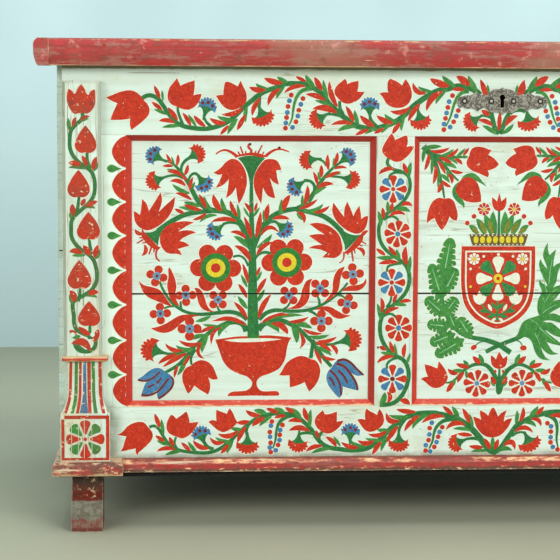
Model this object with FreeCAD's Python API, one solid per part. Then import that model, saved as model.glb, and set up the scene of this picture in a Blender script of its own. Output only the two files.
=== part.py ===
import FreeCAD, Part
import math
import os

from FreeCAD import Vector

# A painted pine wedding chest with a hinged lid, standing on four feet.
# Millimetres. +X to the right of someone who faces the front, +Y to the back, +Z up.
# The origin is on the floor, under the middle of the bounding box.

# Driving sizes of the body
body_width = 1180.0
body_depth = 560.0  # from the face of the front frame to the back of the back boards
foot_height = 70.0
bottom_thickness = 18.0
carcass_height = 543.0
lid_thickness = 20.0
front_board_thickness = 20.0
side_board_thickness = 20.0
back_board_thickness = 18.0
seam_gap = 1.6  # the boards have shrunk, so their edges stand this far apart
cut_overrun = 5.0

# Boards of the carcass: the height of each lower board
front_lower_height = 227.0
side_lower_height = 285.0
back_lower_height = 262.0

# Dovetails at the four corners
upper_tail_count = 4
lower_tail_count = 3
tail_root_share = 0.5
tail_middle_share = 0.32  # where in its pitch each tail stands
tail_slope = 1.0 / 6.0

# Bottom boards
bottom_seam_shares = (0.34, 0.67)

# Frame that lies on the front boards
frame_thickness = 9.0
frame_end_setback = 7.0  # the front boards' dovetailed ends show beside the frame
top_rail_height = 105.0
bottom_rail_height = 76.0
stile_width = 83.0
muntin_width = 51.0
centre_opening_width = 233.5
panel_moulding_width = 7.5
panel_moulding_lip = 1.5

# Pilasters, with a bead and a plinth block under each
pilaster_inset = 33.0  # from the side of the chest to the pilaster's middle
pilaster_width = 50.0
pilaster_thickness = 18.0
pilaster_chamfer = 4.0
pilaster_top_drop = 34.5  # from the rim of the carcass
plinth_inset = 36.0  # from the side of the chest to the plinth's middle
bead_width = 60.0
bead_height = 6.5
bead_thickness = 24.0
bead_rounding = 3.0
plinth_width = 65.0
plinth_thickness = 23.0
plinth_block_height = 63.5
plinth_flare_height = 29.0
plinth_neck_height = 40.5
plinth_neck_width = 46.0
plinth_neck_thickness = 17.0

# Base moulding
base_moulding_height = 17.0
base_moulding_drop = 9.5  # how far it hangs below the carcass, over the edge of the bottom boards
base_projection = 14.0
base_rounding = 7.0
side_base_projection = 6.5
side_base_rounding = 5.0
corner_overlap = 17.0  # how far the corner moulding runs past the plinth block

# Feet
foot_inset = 37.5  # from the side of the chest to the foot's middle
foot_width = 41.0
foot_depth = 70.0
foot_toe_height = 24.0
foot_toe_projection = 20.0  # in front of the frame
foot_neck_setback = 24.0  # from the toe back to the neck

# Lid
lid_gap = 8.5  # between the body and the inside of the lid's mouldings
lid_moulding_thickness = 19.5
lid_moulding_height = 35.0
lid_moulding_undercut = 4.5
lid_moulding_belly_share = 0.66  # height of the widest point
lid_moulding_round = 6.0
cleat_head_length = 32.0  # how far back the hanging front end of an end moulding reaches
lid_rear_setback = 1.0
lid_seam_shares = (0.33, 0.665)
lid_seam_gap = 0.8
batten_width = 60.0
batten_thickness = 18.0
batten_inset = 260.0  # from the body's end to a batten's middle
batten_end_clearance = 14.0
batten_end_bevel = 10.0

# Hinges: two strap hinges behind the back boards
hinge_inset = 160.0  # from the body's end to a hinge's middle
barrel_radius = 6.0
hinge_pin_radius = 2.5
hinge_pin_clearance = 0.08
hinge_pin_overhang = 1.5
strap_thickness = 2.5
strap_width = 32.0
strap_tip_width = 16.0
lid_strap_length = 250.0
back_strap_length = 130.0
lid_barrel_length = 14.0
barrel_end_gap = 0.5
strap_neck_setback = 3.0  # where the lid strap narrows, in front of the back boards' face
strap_notch_clearance = 0.4

# Till: the small open box at the left end of the inside
till_width = 150.0
till_depth = 115.0
till_wall_thickness = 12.0
till_bottom_thickness = 10.0
till_drop = 32.0  # from the rim
till_housing = 5.0  # how deep the till's boards stand in the front and back boards

# Lock
keyhole_radius = 4.0
keyhole_slot_width = 5.4
keyhole_slot_drop = 13.5  # from the round part's centre to the slot's end
keyhole_drop = 53.0  # from the rim to the round part's centre
escutcheon_width = 123.0
escutcheon_height = 37.0
escutcheon_thickness = 1.5
escutcheon_drop = 58.0  # from the rim to the plate's middle
case_width = 104.0
case_height = 74.0
case_depth = 27.0
case_wall = 1.6
case_flange = 13.0
case_drop = 10.0  # from the rim to the case's top
key_post_radius = 1.6
key_post_length = 22.0
staple_thickness = 4.0
staple_width = 18.0
staple_eye_width = 10.0
staple_eye_height = 17.0
staple_eye_rim = 4.0
staple_bridge = 20.0  # from the flange down to the eye
staple_flange_length = 44.0
staple_flange_thickness = 3.0
staple_slot_clearance = 3.0
bolt_thickness = 4.0
bolt_height = 9.0
bolt_length = 42.0
bolt_staple_gap = 4.0
bolt_play = 0.4
bolt_guide_length = 10.0
bolt_guide_wall = 2.5
bolt_talon_width = 7.0
bolt_talon_depth = 5.0
spring_thickness = 0.8
spring_width = 5.0
spring_length = 36.0
spring_play = 0.4

# Forged nails with square shanks
nail_shank = 2.4
nail_length = 34.0
nail_head_radius = 3.0
nail_head_thickness = 1.0
pin_nail_length = 14.0
pin_nail_head_radius = 2.6
strap_nail_length = 15.0
pilaster_nail_spread = 13.0
pilaster_nail_drop = 29.0
base_nail_count = 6
side_nail_count = 3
edge_nail_share = 0.06
escutcheon_nail_shares = (0.085, 0.378)  # from each tip towards the middle
strap_nail_shares = (0.2, 0.5, 0.82)

# Places worked out from those sizes
half_width = body_width / 2
z_carcass = foot_height + bottom_thickness
z_rim = z_carcass + carcass_height
z_lid_top = z_rim + lid_thickness
overall_depth = plinth_thickness + base_projection + body_depth + 2 * barrel_radius
y_frame = -overall_depth / 2 + plinth_thickness + base_projection
y_front_board = y_frame + frame_thickness
y_front_inside = y_front_board + front_board_thickness
y_back = y_frame + body_depth
y_back_inside = y_back - back_board_thickness
x_inside = half_width - side_board_thickness
x_frame_end = half_width - frame_end_setback
z_opening_low = z_carcass + bottom_rail_height
z_opening_high = z_rim - top_rail_height
x_side_opening = x_frame_end - stile_width
side_opening_width = x_side_opening - muntin_width - centre_opening_width / 2
x_pilaster = half_width - pilaster_inset
x_plinth = half_width - plinth_inset
x_foot = half_width - foot_inset
batten_place = half_width - batten_inset
hinge_place = half_width - hinge_inset
z_base = z_carcass - base_moulding_drop
z_plinth = z_base + base_moulding_height
z_neck = z_plinth + plinth_block_height + plinth_flare_height
z_bead = z_neck + plinth_neck_height
z_pilaster = z_bead + bead_height
z_pilaster_top = z_rim - pilaster_top_drop
lid_half_length = half_width + lid_gap
y_lid_board = y_frame - lid_gap
y_lid_rear = y_back - lid_rear_setback
z_hinge = z_rim - strap_thickness / 2
y_hinge = y_back + barrel_radius
z_keyhole = z_rim - keyhole_drop
y_lock = y_front_inside + case_depth / 2
z_staple_eye = z_rim - staple_flange_thickness - staple_bridge - staple_eye_height / 2
x_staple = -staple_thickness / 2
x_bolt_tip = x_staple - bolt_staple_gap
x_corner_inner = x_plinth - plinth_width / 2 - corner_overlap

PARTS = "parts"


def box(x0, x1, y0, y1, z0, z1):
    """A block between two corners."""
    return Part.makeBox(x1 - x0, y1 - y0, z1 - z0, Vector(x0, y0, z0))


def polygon_prism(points, along):
    """The solid that a closed polygon sweeps along a vector."""
    wire = Part.makePolygon(points + [points[0]])
    return Part.Face(wire).extrude(along)


def edge_prism(edges, along):
    """The solid that a closed chain of lines and arcs sweeps along a vector."""
    return Part.Face(Part.Wire(edges)).extrude(along)


def line(a, b):
    return Part.LineSegment(a, b).toShape()


def arc(a, b, c):
    return Part.Arc(a, b, c).toShape()


def fused(shapes):
    """One solid made of several that touch or overlap."""
    return shapes[0].multiFuse(shapes[1:]).removeSplitter()


def mirrored(shape):
    """The same piece at the other end of the chest."""
    return shape.mirror(Vector(0, 0, 0), Vector(1, 0, 0))


def turned_back(shape):
    """The same piece, facing the back instead of the front."""
    return shape.mirror(Vector(0, 0, 0), Vector(0, 1, 0))


def edges_where(shape, test):
    """The straight edges whose two ends both pass a test."""
    return [e for e in shape.Edges if all(test(v.Point) for v in e.Vertexes)]


def near(a, b):
    return abs(a - b) < 1e-6


def save(name, shape):
    """Writes a node's solids to its STEP file."""
    solids = shape.Solids
    assert solids and all(s.isValid() and s.Volume > 0 for s in solids), name
    out = solids[0] if len(solids) == 1 else Part.makeCompound(solids)
    out.exportStep(os.path.join(PARTS, name + ".step"))


# Carcass

def tail(x_root, x_end, y0, y1, z_middle, root_height):
    """One dovetail: it widens from its root to its end."""
    flare = abs(x_end - x_root) * tail_slope
    half = root_height / 2
    outline = [
        Vector(x_root, y0, z_middle - half),
        Vector(x_end, y0, z_middle - half - flare),
        Vector(x_end, y0, z_middle + half + flare),
        Vector(x_root, y0, z_middle + half),
    ]
    return polygon_prism(outline, Vector(0, y1 - y0, 0))


def tailed_board(y0, y1, z0, z1, count):
    """A board across the chest with a row of dovetails at each end."""
    pitch = (z1 - z0) / count
    pieces = [box(-x_inside, x_inside, y0, y1, z0, z1)]
    for k in range(count):
        middle = z0 + pitch * (k + tail_middle_share)
        for side in (-1, 1):
            pieces.append(tail(side * x_inside, side * half_width, y0, y1, middle, pitch * tail_root_share))
    return fused(pieces)


def seam_pair(lower_height):
    """The heights between which a wall's lower and upper boards stand."""
    seam = z_carcass + lower_height
    return (z_carcass, seam - seam_gap / 2), (seam + seam_gap / 2, z_rim)


def keyhole(y0, y1):
    """The hole for the key: a round part with a slot under it."""
    centre = Vector(0, y0, z_keyhole)
    round_part = Part.makeCylinder(keyhole_radius, y1 - y0, centre, Vector(0, 1, 0))
    half = keyhole_slot_width / 2
    slot = box(-half, half, y0, y1, z_keyhole - keyhole_slot_drop, z_keyhole)
    return fused([round_part, slot])


def till_boards():
    """The till's wall and bottom, housed in the front and back boards."""
    y0 = y_front_inside - till_housing
    y1 = y_back_inside + till_housing
    z_top = z_rim - till_drop
    z_low = z_top - till_depth
    x_wall = -x_inside + till_width
    wall = box(x_wall, x_wall + till_wall_thickness, y0, y1, z_low, z_top)
    bottom = box(-x_inside, x_wall, y0, y1, z_low, z_low + till_bottom_thickness)
    return wall, bottom


def front_boards():
    low, high = seam_pair(front_lower_height)
    lower = tailed_board(y_front_board, y_front_inside, *low, lower_tail_count)
    upper = tailed_board(y_front_board, y_front_inside, *high, upper_tail_count)
    upper = upper.cut(keyhole(y_front_board - cut_overrun, y_front_inside + cut_overrun))
    return lower, upper


def back_boards():
    low, high = seam_pair(back_lower_height)
    lower = tailed_board(y_back_inside, y_back, *low, lower_tail_count)
    upper = tailed_board(y_back_inside, y_back, *high, upper_tail_count)
    half = strap_width / 2 + strap_notch_clearance
    depth = strap_thickness + strap_notch_clearance
    for side in (-1, 1):
        x = side * hinge_place
        y0 = y_back_inside - cut_overrun
        notch = box(x - half, x + half, y0, y_back + cut_overrun, z_rim - depth, z_rim + cut_overrun)
        upper = upper.cut(notch)
    return lower, upper


def side_boards(side, neighbours):
    """A side's two boards, with pins where the tails of the front and back pass through."""
    made = []
    x0, x1 = sorted((side * x_inside, side * half_width))
    for z0, z1 in seam_pair(side_lower_height):
        board = box(x0, x1, y_front_board, y_back, z0, z1)
        made.append(board.cut(neighbours))
    return made


def bottom_boards():
    """Three boards, nailed up under the carcass."""
    places = [y_frame] + [y_frame + body_depth * share for share in bottom_seam_shares] + [y_back]
    made = []
    for k, (y0, y1) in enumerate(zip(places, places[1:])):
        y0 += seam_gap / 2 if k else 0
        y1 -= seam_gap / 2 if k < len(bottom_seam_shares) else 0
        made.append(box(-half_width, half_width, y0, y1, foot_height, z_carcass))
    return made


# Front frame

def frame_piece(x0, x1, z0, z1):
    return box(x0, x1, y_frame, y_front_board, z0, z1)


def top_rail():
    rail = frame_piece(-x_frame_end, x_frame_end, z_opening_high, z_rim)
    return rail.cut(keyhole(y_frame - cut_overrun, y_front_board + cut_overrun))


def bottom_rail():
    return frame_piece(-x_frame_end, x_frame_end, z_carcass, z_opening_low)


def stile():
    return frame_piece(-x_frame_end, -x_side_opening, z_opening_low, z_opening_high)


def muntin():
    x1 = -centre_opening_width / 2
    return frame_piece(x1 - muntin_width, x1, z_opening_low, z_opening_high)


def bevel_profile(u, v, origin):
    """The bevelled strip's section: u points into the opening, v points out of the panel."""
    w, t, lip = panel_moulding_width, frame_thickness, panel_moulding_lip
    return [origin, origin + u * w, origin + u * w + v * lip, origin + v * t]


def panel_moulding(x0, x1):
    """Four bevelled strips, mitred round an opening of the frame."""
    z0, z1, w = z_opening_low, z_opening_high, panel_moulding_width
    out = Vector(0, -1, 0)
    y = y_front_board
    corners = [Vector(x0, y, z0), Vector(x1, y, z0), Vector(x1, y, z1), Vector(x0, y, z1)]
    inner = [Vector(x0 + w, y, z0 + w), Vector(x1 - w, y, z0 + w),
             Vector(x1 - w, y, z1 - w), Vector(x0 + w, y, z1 - w)]
    inward = [Vector(0, 0, 1), Vector(-1, 0, 0), Vector(0, 0, -1), Vector(1, 0, 0)]
    strips = []
    for k in range(len(corners)):
        nxt = (k + 1) % len(corners)
        run = corners[nxt] - corners[k]
        strip = polygon_prism(bevel_profile(inward[k], out, corners[k]), run)
        mitre = polygon_prism([corners[k], corners[nxt], inner[nxt], inner[k]], out * frame_thickness)
        strips.append(strip.common(mitre))
    return Part.makeCompound(strips)


# Pilasters

def pilaster():
    x0, x1 = -x_pilaster - pilaster_width / 2, -x_pilaster + pilaster_width / 2
    y_face = y_frame - pilaster_thickness
    post = box(x0, x1, y_face, y_frame, z_pilaster, z_pilaster_top)
    face_edges = edges_where(post, lambda p: near(p.y, y_face))
    foot_edge = edges_where(post, lambda p: near(p.z, z_pilaster))
    keep = {e.hashCode() for e in foot_edge}
    return post.makeChamfer(pilaster_chamfer, [e for e in face_edges if e.hashCode() not in keep])


def bead():
    x0, x1 = -x_plinth - bead_width / 2, -x_plinth + bead_width / 2
    y_face = y_frame - bead_thickness
    strip = box(x0, x1, y_face, y_frame, z_bead, z_pilaster)
    rounded = edges_where(strip, lambda p: near(p.y, y_face))
    return strip.makeFillet(bead_rounding, rounded)


def cove(narrow, wide, z_high, z_low):
    """Middle and end of a cove that leaves a neck upright and runs out to a block.
    Each is a reach from the centre line and a height."""
    reach, drop = wide - narrow, z_high - z_low
    radius = (reach * reach + drop * drop) / (2 * reach)
    half_turn = math.asin(drop / radius) / 2
    middle = (narrow + radius * (1 - math.cos(half_turn)), z_high - radius * math.sin(half_turn))
    return middle, (wide, z_low)


def plinth_block():
    """A square block that narrows through a cove to a fluted neck."""
    x, z_block = -x_plinth, z_plinth + plinth_block_height
    neck, wide = plinth_neck_width / 2, plinth_width / 2
    (mx, mz), _ = cove(neck, wide, z_neck, z_block)

    def at(dx, z):
        return Vector(x + dx, y_frame, z)

    front_outline = [
        line(at(-wide, z_plinth), at(wide, z_plinth)),
        line(at(wide, z_plinth), at(wide, z_block)),
        arc(at(wide, z_block), at(mx, mz), at(neck, z_neck)),
        line(at(neck, z_neck), at(neck, z_bead)),
        line(at(neck, z_bead), at(-neck, z_bead)),
        line(at(-neck, z_bead), at(-neck, z_neck)),
        arc(at(-neck, z_neck), at(-mx, mz), at(-wide, z_block)),
        line(at(-wide, z_block), at(-wide, z_plinth)),
    ]
    front = edge_prism(front_outline, Vector(0, -plinth_thickness, 0))
    (my, sz), _ = cove(plinth_neck_thickness, plinth_thickness, z_neck, z_block)

    def beside(dy, z):
        return Vector(x - wide, y_frame - dy, z)

    side_outline = [
        line(beside(0, z_plinth), beside(plinth_thickness, z_plinth)),
        line(beside(plinth_thickness, z_plinth), beside(plinth_thickness, z_block)),
        arc(beside(plinth_thickness, z_block), beside(my, sz), beside(plinth_neck_thickness, z_neck)),
        line(beside(plinth_neck_thickness, z_neck), beside(plinth_neck_thickness, z_bead)),
        line(beside(plinth_neck_thickness, z_bead), beside(0, z_bead)),
        line(beside(0, z_bead), beside(0, z_plinth)),
    ]
    side = edge_prism(side_outline, Vector(plinth_width, 0, 0))
    return front.common(side)


# Base moulding

def front_base_moulding():
    y_face = y_frame - base_projection
    strip = box(-x_corner_inner, x_corner_inner, y_face, y_frame, z_base, z_plinth)
    top_edge = edges_where(strip, lambda p: near(p.y, y_face) and near(p.z, z_plinth))
    return strip.makeFillet(base_rounding, top_edge)


def corner_moulding():
    """The piece that breaks forward under a plinth block."""
    x0 = -half_width - side_base_projection
    x1 = -x_corner_inner
    y_face = y_frame - plinth_thickness - base_projection
    block = box(x0, x1, y_face, y_frame, z_base, z_plinth)
    top = edges_where(block, lambda p: near(p.z, z_plinth))
    at_back = {e.hashCode() for e in edges_where(block, lambda p: near(p.y, y_frame))}
    return block.makeFillet(side_base_rounding, [e for e in top if e.hashCode() not in at_back])


def side_base_moulding():
    x0 = -half_width - side_base_projection
    strip = box(x0, -half_width, y_frame, y_back, z_base, z_plinth)
    top_edge = edges_where(strip, lambda p: near(p.x, x0) and near(p.z, z_plinth))
    return strip.makeFillet(side_base_rounding, top_edge)


# Feet

def foot(y_toe):
    """A sawn foot whose front swings in from the toe to the neck."""
    reach, rise = foot_neck_setback, foot_height - foot_toe_height
    radius = (reach * reach + rise * rise) / (4 * reach)
    turn = math.asin(rise / (2 * radius)) / 2
    in_by, up_by = radius * (1 - math.cos(turn)), radius * math.sin(turn)
    x = -x_foot - foot_width / 2

    def at(dy, z):
        return Vector(x, y_toe + dy, z)

    middle = at(reach / 2, foot_toe_height + rise / 2)
    outline = [
        line(at(0, 0), at(0, foot_toe_height)),
        arc(at(0, foot_toe_height), at(in_by, foot_toe_height + up_by), middle),
        arc(middle, at(reach - in_by, foot_height - up_by), at(reach, foot_height)),
        line(at(reach, foot_height), at(foot_depth, foot_height)),
        line(at(foot_depth, foot_height), at(foot_depth, 0)),
        line(at(foot_depth, 0), at(0, 0)),
    ]
    return edge_prism(outline, Vector(foot_width, 0, 0))


# Lid

def lid_boards():
    depth = y_lid_rear - y_lid_board
    places = [y_lid_board] + [y_lid_board + depth * share for share in lid_seam_shares] + [y_lid_rear]
    made = []
    for k, (y0, y1) in enumerate(zip(places, places[1:])):
        y0 += lid_seam_gap / 2 if k else 0
        y1 -= lid_seam_gap / 2 if k < len(lid_seam_shares) else 0
        made.append(box(-lid_half_length, lid_half_length, y0, y1, z_rim, z_lid_top))
    return made


def lid_moulding(corner, out, run):
    """A length of the lid's edge: its outside bellies, with a round top and an undercut foot."""
    z0, z1 = z_lid_top - lid_moulding_height, z_lid_top
    z_belly = z0 + lid_moulding_height * lid_moulding_belly_share
    foot_reach = lid_moulding_thickness - lid_moulding_undercut
    top_reach = lid_moulding_thickness - lid_moulding_round

    def at(reach, z):
        return Vector(corner.x + out.x * reach, corner.y + out.y * reach, z)

    belly = lid_moulding_thickness
    z_low_mid = (z0 + z_belly) / 2
    low_mid = foot_reach + lid_moulding_undercut * math.sin(math.radians(60))
    turn = math.radians(45)
    top_mid = top_reach + lid_moulding_round * math.sin(turn)
    z_top_mid = z_belly + (z1 - z_belly) * math.cos(turn)
    outline = [
        line(at(0, z0), at(foot_reach, z0)),
        arc(at(foot_reach, z0), at(low_mid, z_low_mid), at(belly, z_belly)),
        arc(at(belly, z_belly), at(top_mid, z_top_mid), at(top_reach, z1)),
        line(at(top_reach, z1), at(0, z1)),
        line(at(0, z1), at(0, z0)),
    ]
    return edge_prism(outline, run)


def lid_front_moulding():
    corner = Vector(-lid_half_length, y_lid_board, 0)
    return lid_moulding(corner, Vector(0, -1, 0), Vector(2 * lid_half_length, 0, 0))


def lid_cleat():
    """The moulding on the lid's end. Behind its front end, which hangs, its foot is cut away up to the rim."""
    y0 = y_lid_board - lid_moulding_thickness
    corner = Vector(-lid_half_length, y0, 0)
    whole = lid_moulding(corner, Vector(-1, 0, 0), Vector(0, y_lid_rear - y0, 0))
    drop = lid_moulding_height - lid_thickness
    x, y, z = -lid_half_length - lid_moulding_thickness - cut_overrun, y0 + cleat_head_length, z_rim - drop
    below = [
        Vector(x, y - cut_overrun, z - cut_overrun),
        Vector(x, y + drop, z_rim),
        Vector(x, y_lid_rear + cut_overrun, z_rim),
        Vector(x, y_lid_rear + cut_overrun, z - cut_overrun),
    ]
    return whole.cut(polygon_prism(below, Vector(lid_moulding_thickness + 2 * cut_overrun, 0, 0)))


def batten():
    """A bar across the lid's boards, inside the carcass, with bevelled ends."""
    y0 = y_front_inside + batten_end_clearance
    y1 = y_back_inside - batten_end_clearance
    z0, x = z_rim - batten_thickness, -batten_place - batten_width / 2
    outline = [
        Vector(x, y0, z_rim), Vector(x, y0, z0 + batten_end_bevel), Vector(x, y0 + batten_end_bevel, z0),
        Vector(x, y1 - batten_end_bevel, z0), Vector(x, y1, z0 + batten_end_bevel), Vector(x, y1, z_rim),
    ]
    return polygon_prism(outline, Vector(batten_width, 0, 0))


# Hinges, one at each side of the middle

def barrel(x0, x1, radius):
    return Part.makeCylinder(radius, x1 - x0, Vector(x0, y_hinge, z_hinge), Vector(1, 0, 0))


def hinge_bore(x):
    reach = strap_width / 2 + cut_overrun
    return barrel(x - reach, x + reach, hinge_pin_radius + hinge_pin_clearance)


def lid_strap(x):
    """A tapered strap under the lid that ends in the middle barrel."""
    z0 = z_rim - strap_thickness
    wide, tip, neck = strap_width / 2, strap_tip_width / 2, lid_barrel_length / 2
    y_neck = y_back - strap_neck_setback
    y_tip = y_back - lid_strap_length
    outline = [
        line(Vector(x - neck, y_hinge, z0), Vector(x - neck, y_neck, z0)),
        line(Vector(x - neck, y_neck, z0), Vector(x - wide, y_neck, z0)),
        line(Vector(x - wide, y_neck, z0), Vector(x - tip, y_tip, z0)),
        arc(Vector(x - tip, y_tip, z0), Vector(x, y_tip - tip, z0), Vector(x + tip, y_tip, z0)),
        line(Vector(x + tip, y_tip, z0), Vector(x + wide, y_neck, z0)),
        line(Vector(x + wide, y_neck, z0), Vector(x + neck, y_neck, z0)),
        line(Vector(x + neck, y_neck, z0), Vector(x + neck, y_hinge, z0)),
        line(Vector(x + neck, y_hinge, z0), Vector(x - neck, y_hinge, z0)),
    ]
    plate = edge_prism(outline, Vector(0, 0, strap_thickness))
    return fused([plate, barrel(x - neck, x + neck, barrel_radius)]).cut(hinge_bore(x))


def back_strap(x):
    """A strap down the back of the chest, with a barrel at each side of the lid's."""
    wide = strap_width / 2
    inner = lid_barrel_length / 2 + barrel_end_gap
    z_tip = z_hinge - back_strap_length
    tip = strap_tip_width / 2
    outline = [
        line(Vector(x - wide, y_back, z_hinge), Vector(x - tip, y_back, z_tip)),
        arc(Vector(x - tip, y_back, z_tip), Vector(x, y_back, z_tip - tip), Vector(x + tip, y_back, z_tip)),
        line(Vector(x + tip, y_back, z_tip), Vector(x + wide, y_back, z_hinge)),
        line(Vector(x + wide, y_back, z_hinge), Vector(x - wide, y_back, z_hinge)),
    ]
    plate = edge_prism(outline, Vector(0, strap_thickness, 0))
    swing = barrel_radius + barrel_end_gap
    gap = box(x - inner, x + inner, y_back - cut_overrun, y_hinge + swing, z_hinge - swing, z_rim + cut_overrun)
    barrels = [barrel(x - wide, x - inner, barrel_radius), barrel(x + inner, x + wide, barrel_radius)]
    return fused([plate.cut(gap)] + barrels).cut(hinge_bore(x))


def hinge_pin(x):
    reach = strap_width / 2 + hinge_pin_overhang
    return barrel(x - reach, x + reach, hinge_pin_radius)


# Lock

ESCUTCHEON_SHARES = [
    # reach, height and bulge of the arc that ends there, from the left tip over the top to the middle
    (-1.0, 0.0, 0.0), (-0.87, 0.32, 0.2), (-0.72, 0.4, 0.1), (-0.57, 0.7, -0.08),
    (-0.47, 0.44, -0.08), (-0.34, 0.4, 0.1), (-0.13, 0.86, 0.14), (0.0, 1.0, -0.1),
]
ESCUTCHEON_LOW_SHARES = [
    # the same from the middle under the bottom to the left tip
    (0.0, -1.0, 0.0), (-0.14, -0.8, -0.08), (-0.3, -0.66, 0.16), (-0.38, -0.46, 0.1),
    (-0.54, -0.76, -0.08), (-0.68, -0.5, -0.08), (-0.85, -0.44, 0.16), (-1.0, 0.0, 0.22),
]


def bulged_run(shares, at):
    """Lines and arcs through points, each arc bulging to the left of its run by a share of its length."""
    points = [at(s[0], s[1]) for s in shares]
    edges = []
    for (a, b), (_, _, bulge) in zip(zip(points, points[1:]), shares[1:]):
        chord = b - a
        left = Vector(-chord.z, 0, chord.x)
        edges.append(arc(a, (a + b) * 0.5 + left * bulge, b))
    return edges


def escutcheon():
    """The lobed iron plate round the keyhole."""
    half, high = escutcheon_width / 2, escutcheon_height / 2
    z_middle = z_rim - escutcheon_drop

    def at(reach, height):
        return Vector(reach * half, y_frame, z_middle + height * high)

    left_half = bulged_run(ESCUTCHEON_SHARES, at) + bulged_run(ESCUTCHEON_LOW_SHARES, at)
    right_half = [mirrored(e) for e in left_half]
    wire = Part.Wire(Part.__sortEdges__(left_half + right_half))
    plate = Part.Face(wire).extrude(Vector(0, -escutcheon_thickness, 0))
    return plate.cut(keyhole(y_frame - escutcheon_thickness - cut_overrun, y_frame + cut_overrun))


def lock_case():
    """A folded iron box on the inside of the front, open to the board, with the bolt's guides in it."""
    half, t = case_width / 2, case_wall
    z1 = z_rim - case_drop
    z0 = z1 - case_height
    y0, y1 = y_front_inside, y_front_inside + case_depth
    shell = box(-half, half, y0, y1, z0, z1).cut(box(-half + t, half - t, y0, y1 - t, z0 + t, z1 - t))
    slot_x = staple_thickness / 2 + staple_slot_clearance
    slot_y = staple_width / 2 + staple_slot_clearance
    shell = shell.cut(box(-slot_x, slot_x, y_lock - slot_y, y_lock + slot_y, z1 - t, z1 + cut_overrun))
    flanges = []
    for side in (-1, 1):
        xa, xb = sorted((side * half, side * (half + case_flange)))
        flanges.append(box(xa, xb, y0, y0 + t, z0, z1))
    guides = []
    reach_y, reach_z = bolt_thickness / 2 + bolt_play, bolt_height / 2 + bolt_play
    x_far = x_bolt_tip - bolt_length + bolt_guide_length
    for x_guide in (x_bolt_tip - 2 * bolt_guide_length, x_far):
        outside = box(x_guide, x_guide + bolt_guide_length, y_lock - reach_y - bolt_guide_wall, y1 - t,
                      z_staple_eye - reach_z - bolt_guide_wall, z_staple_eye + reach_z + bolt_guide_wall)
        hole = box(x_guide - cut_overrun, x_guide + bolt_guide_length + cut_overrun,
                   y_lock - reach_y, y_lock + reach_y, z_staple_eye - reach_z, z_staple_eye + reach_z)
        guides.append(outside.cut(hole))
    return fused([shell] + flanges + guides)


def lock_bolt():
    """The sliding bolt, with the notch under it that the key's bit pushes."""
    y0, y1 = y_lock - bolt_thickness / 2, y_lock + bolt_thickness / 2
    z0, z1 = z_staple_eye - bolt_height / 2, z_staple_eye + bolt_height / 2
    bar = box(x_bolt_tip - bolt_length, x_bolt_tip, y0, y1, z0, z1)
    x_talon = x_bolt_tip - bolt_talon_width / 2
    notch = box(x_talon - bolt_talon_width, x_talon, y0 - cut_overrun, y1 + cut_overrun,
                z0 - cut_overrun, z0 + bolt_talon_depth)
    return bar.cut(notch)


def lock_spring():
    """A leaf spring over the bolt, rooted in the case's back wall."""
    y1 = y_front_inside + case_depth - case_wall
    z = z_staple_eye + bolt_height / 2 + bolt_play + bolt_guide_wall + spring_play
    x0 = x_bolt_tip - bolt_length
    leaf = box(x0, x0 + spring_length, y_lock - spring_width / 2, y_lock + spring_width / 2,
               z, z + spring_thickness)
    root = box(x0, x0 + spring_width, y_lock, y1, z, z + spring_thickness)
    return fused([leaf, root])


def key_post():
    """The pin that the hollow key turns on."""
    y1 = y_front_inside + case_depth - case_wall
    return Part.makeCylinder(key_post_radius, key_post_length, Vector(0, y1 - key_post_length, z_keyhole),
                             Vector(0, 1, 0))


def lid_staple():
    """The eye that hangs from the lid into the lock."""
    y0, y1 = y_lock - staple_width / 2, y_lock + staple_width / 2
    z_eye_low = z_staple_eye - staple_eye_height / 2
    plate = box(x_staple, x_staple + staple_thickness, y0, y1, z_eye_low - staple_eye_rim, z_rim)
    flange = box(-staple_flange_length / 2, staple_flange_length / 2, y0, y1,
                 z_rim - staple_flange_thickness, z_rim)
    eye = box(x_staple - cut_overrun, x_staple + staple_thickness + cut_overrun,
              y_lock - staple_eye_width / 2, y_lock + staple_eye_width / 2,
              z_eye_low, z_eye_low + staple_eye_height)
    return fused([plate, flange]).cut(eye)


# Nails

def nail(point, inward, length, head_radius):
    """A square shank driven in from a point on a face, with a round head on the face."""
    half = nail_shank / 2
    head = Part.makeCylinder(head_radius, nail_head_thickness, point - inward * nail_head_thickness, inward)
    shank = Part.makeBox(nail_shank, nail_shank, length, Vector(-half, -half, 0))
    turn = FreeCAD.Rotation(Vector(0, 0, 1), inward)
    shank.Placement = FreeCAD.Placement(point, turn)
    return fused([head, shank])


def spread(low, high, count):
    """Places in a row, the first and last a little in from the ends."""
    run = high - low
    inset = run * edge_nail_share
    return [low + inset + (run - 2 * inset) * k / (count - 1) for k in range(count)]


def pilaster_nails():
    y_face = y_frame - pilaster_thickness
    inward = Vector(0, 1, 0)
    nails = []
    for side in (-1, 1):
        for dx in (-pilaster_nail_spread, pilaster_nail_spread):
            for z in (z_pilaster_top - pilaster_nail_drop, z_pilaster + pilaster_nail_drop):
                point = Vector(side * x_pilaster + dx, y_face, z)
                nails.append(nail(point, inward, nail_length, nail_head_radius))
    return nails


def base_nails():
    """Nails through the fascia of the base mouldings, low enough to bite the bottom boards."""
    z = z_base + (base_moulding_height - base_rounding) / 2
    inward = Vector(0, 1, 0)
    nails = []
    for x in spread(-x_corner_inner, x_corner_inner, base_nail_count):
        nails.append(nail(Vector(x, y_frame - base_projection, z), inward, nail_length, nail_head_radius))
    for side in (-1, 1):
        x_face = side * (half_width + side_base_projection)
        for y in spread(y_frame, y_back, side_nail_count):
            nails.append(nail(Vector(x_face, y, z), Vector(-side, 0, 0), nail_length, nail_head_radius))
    return nails


def strap_nail_places(low, high):
    return [low + (high - low) * share for share in strap_nail_shares]


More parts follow.
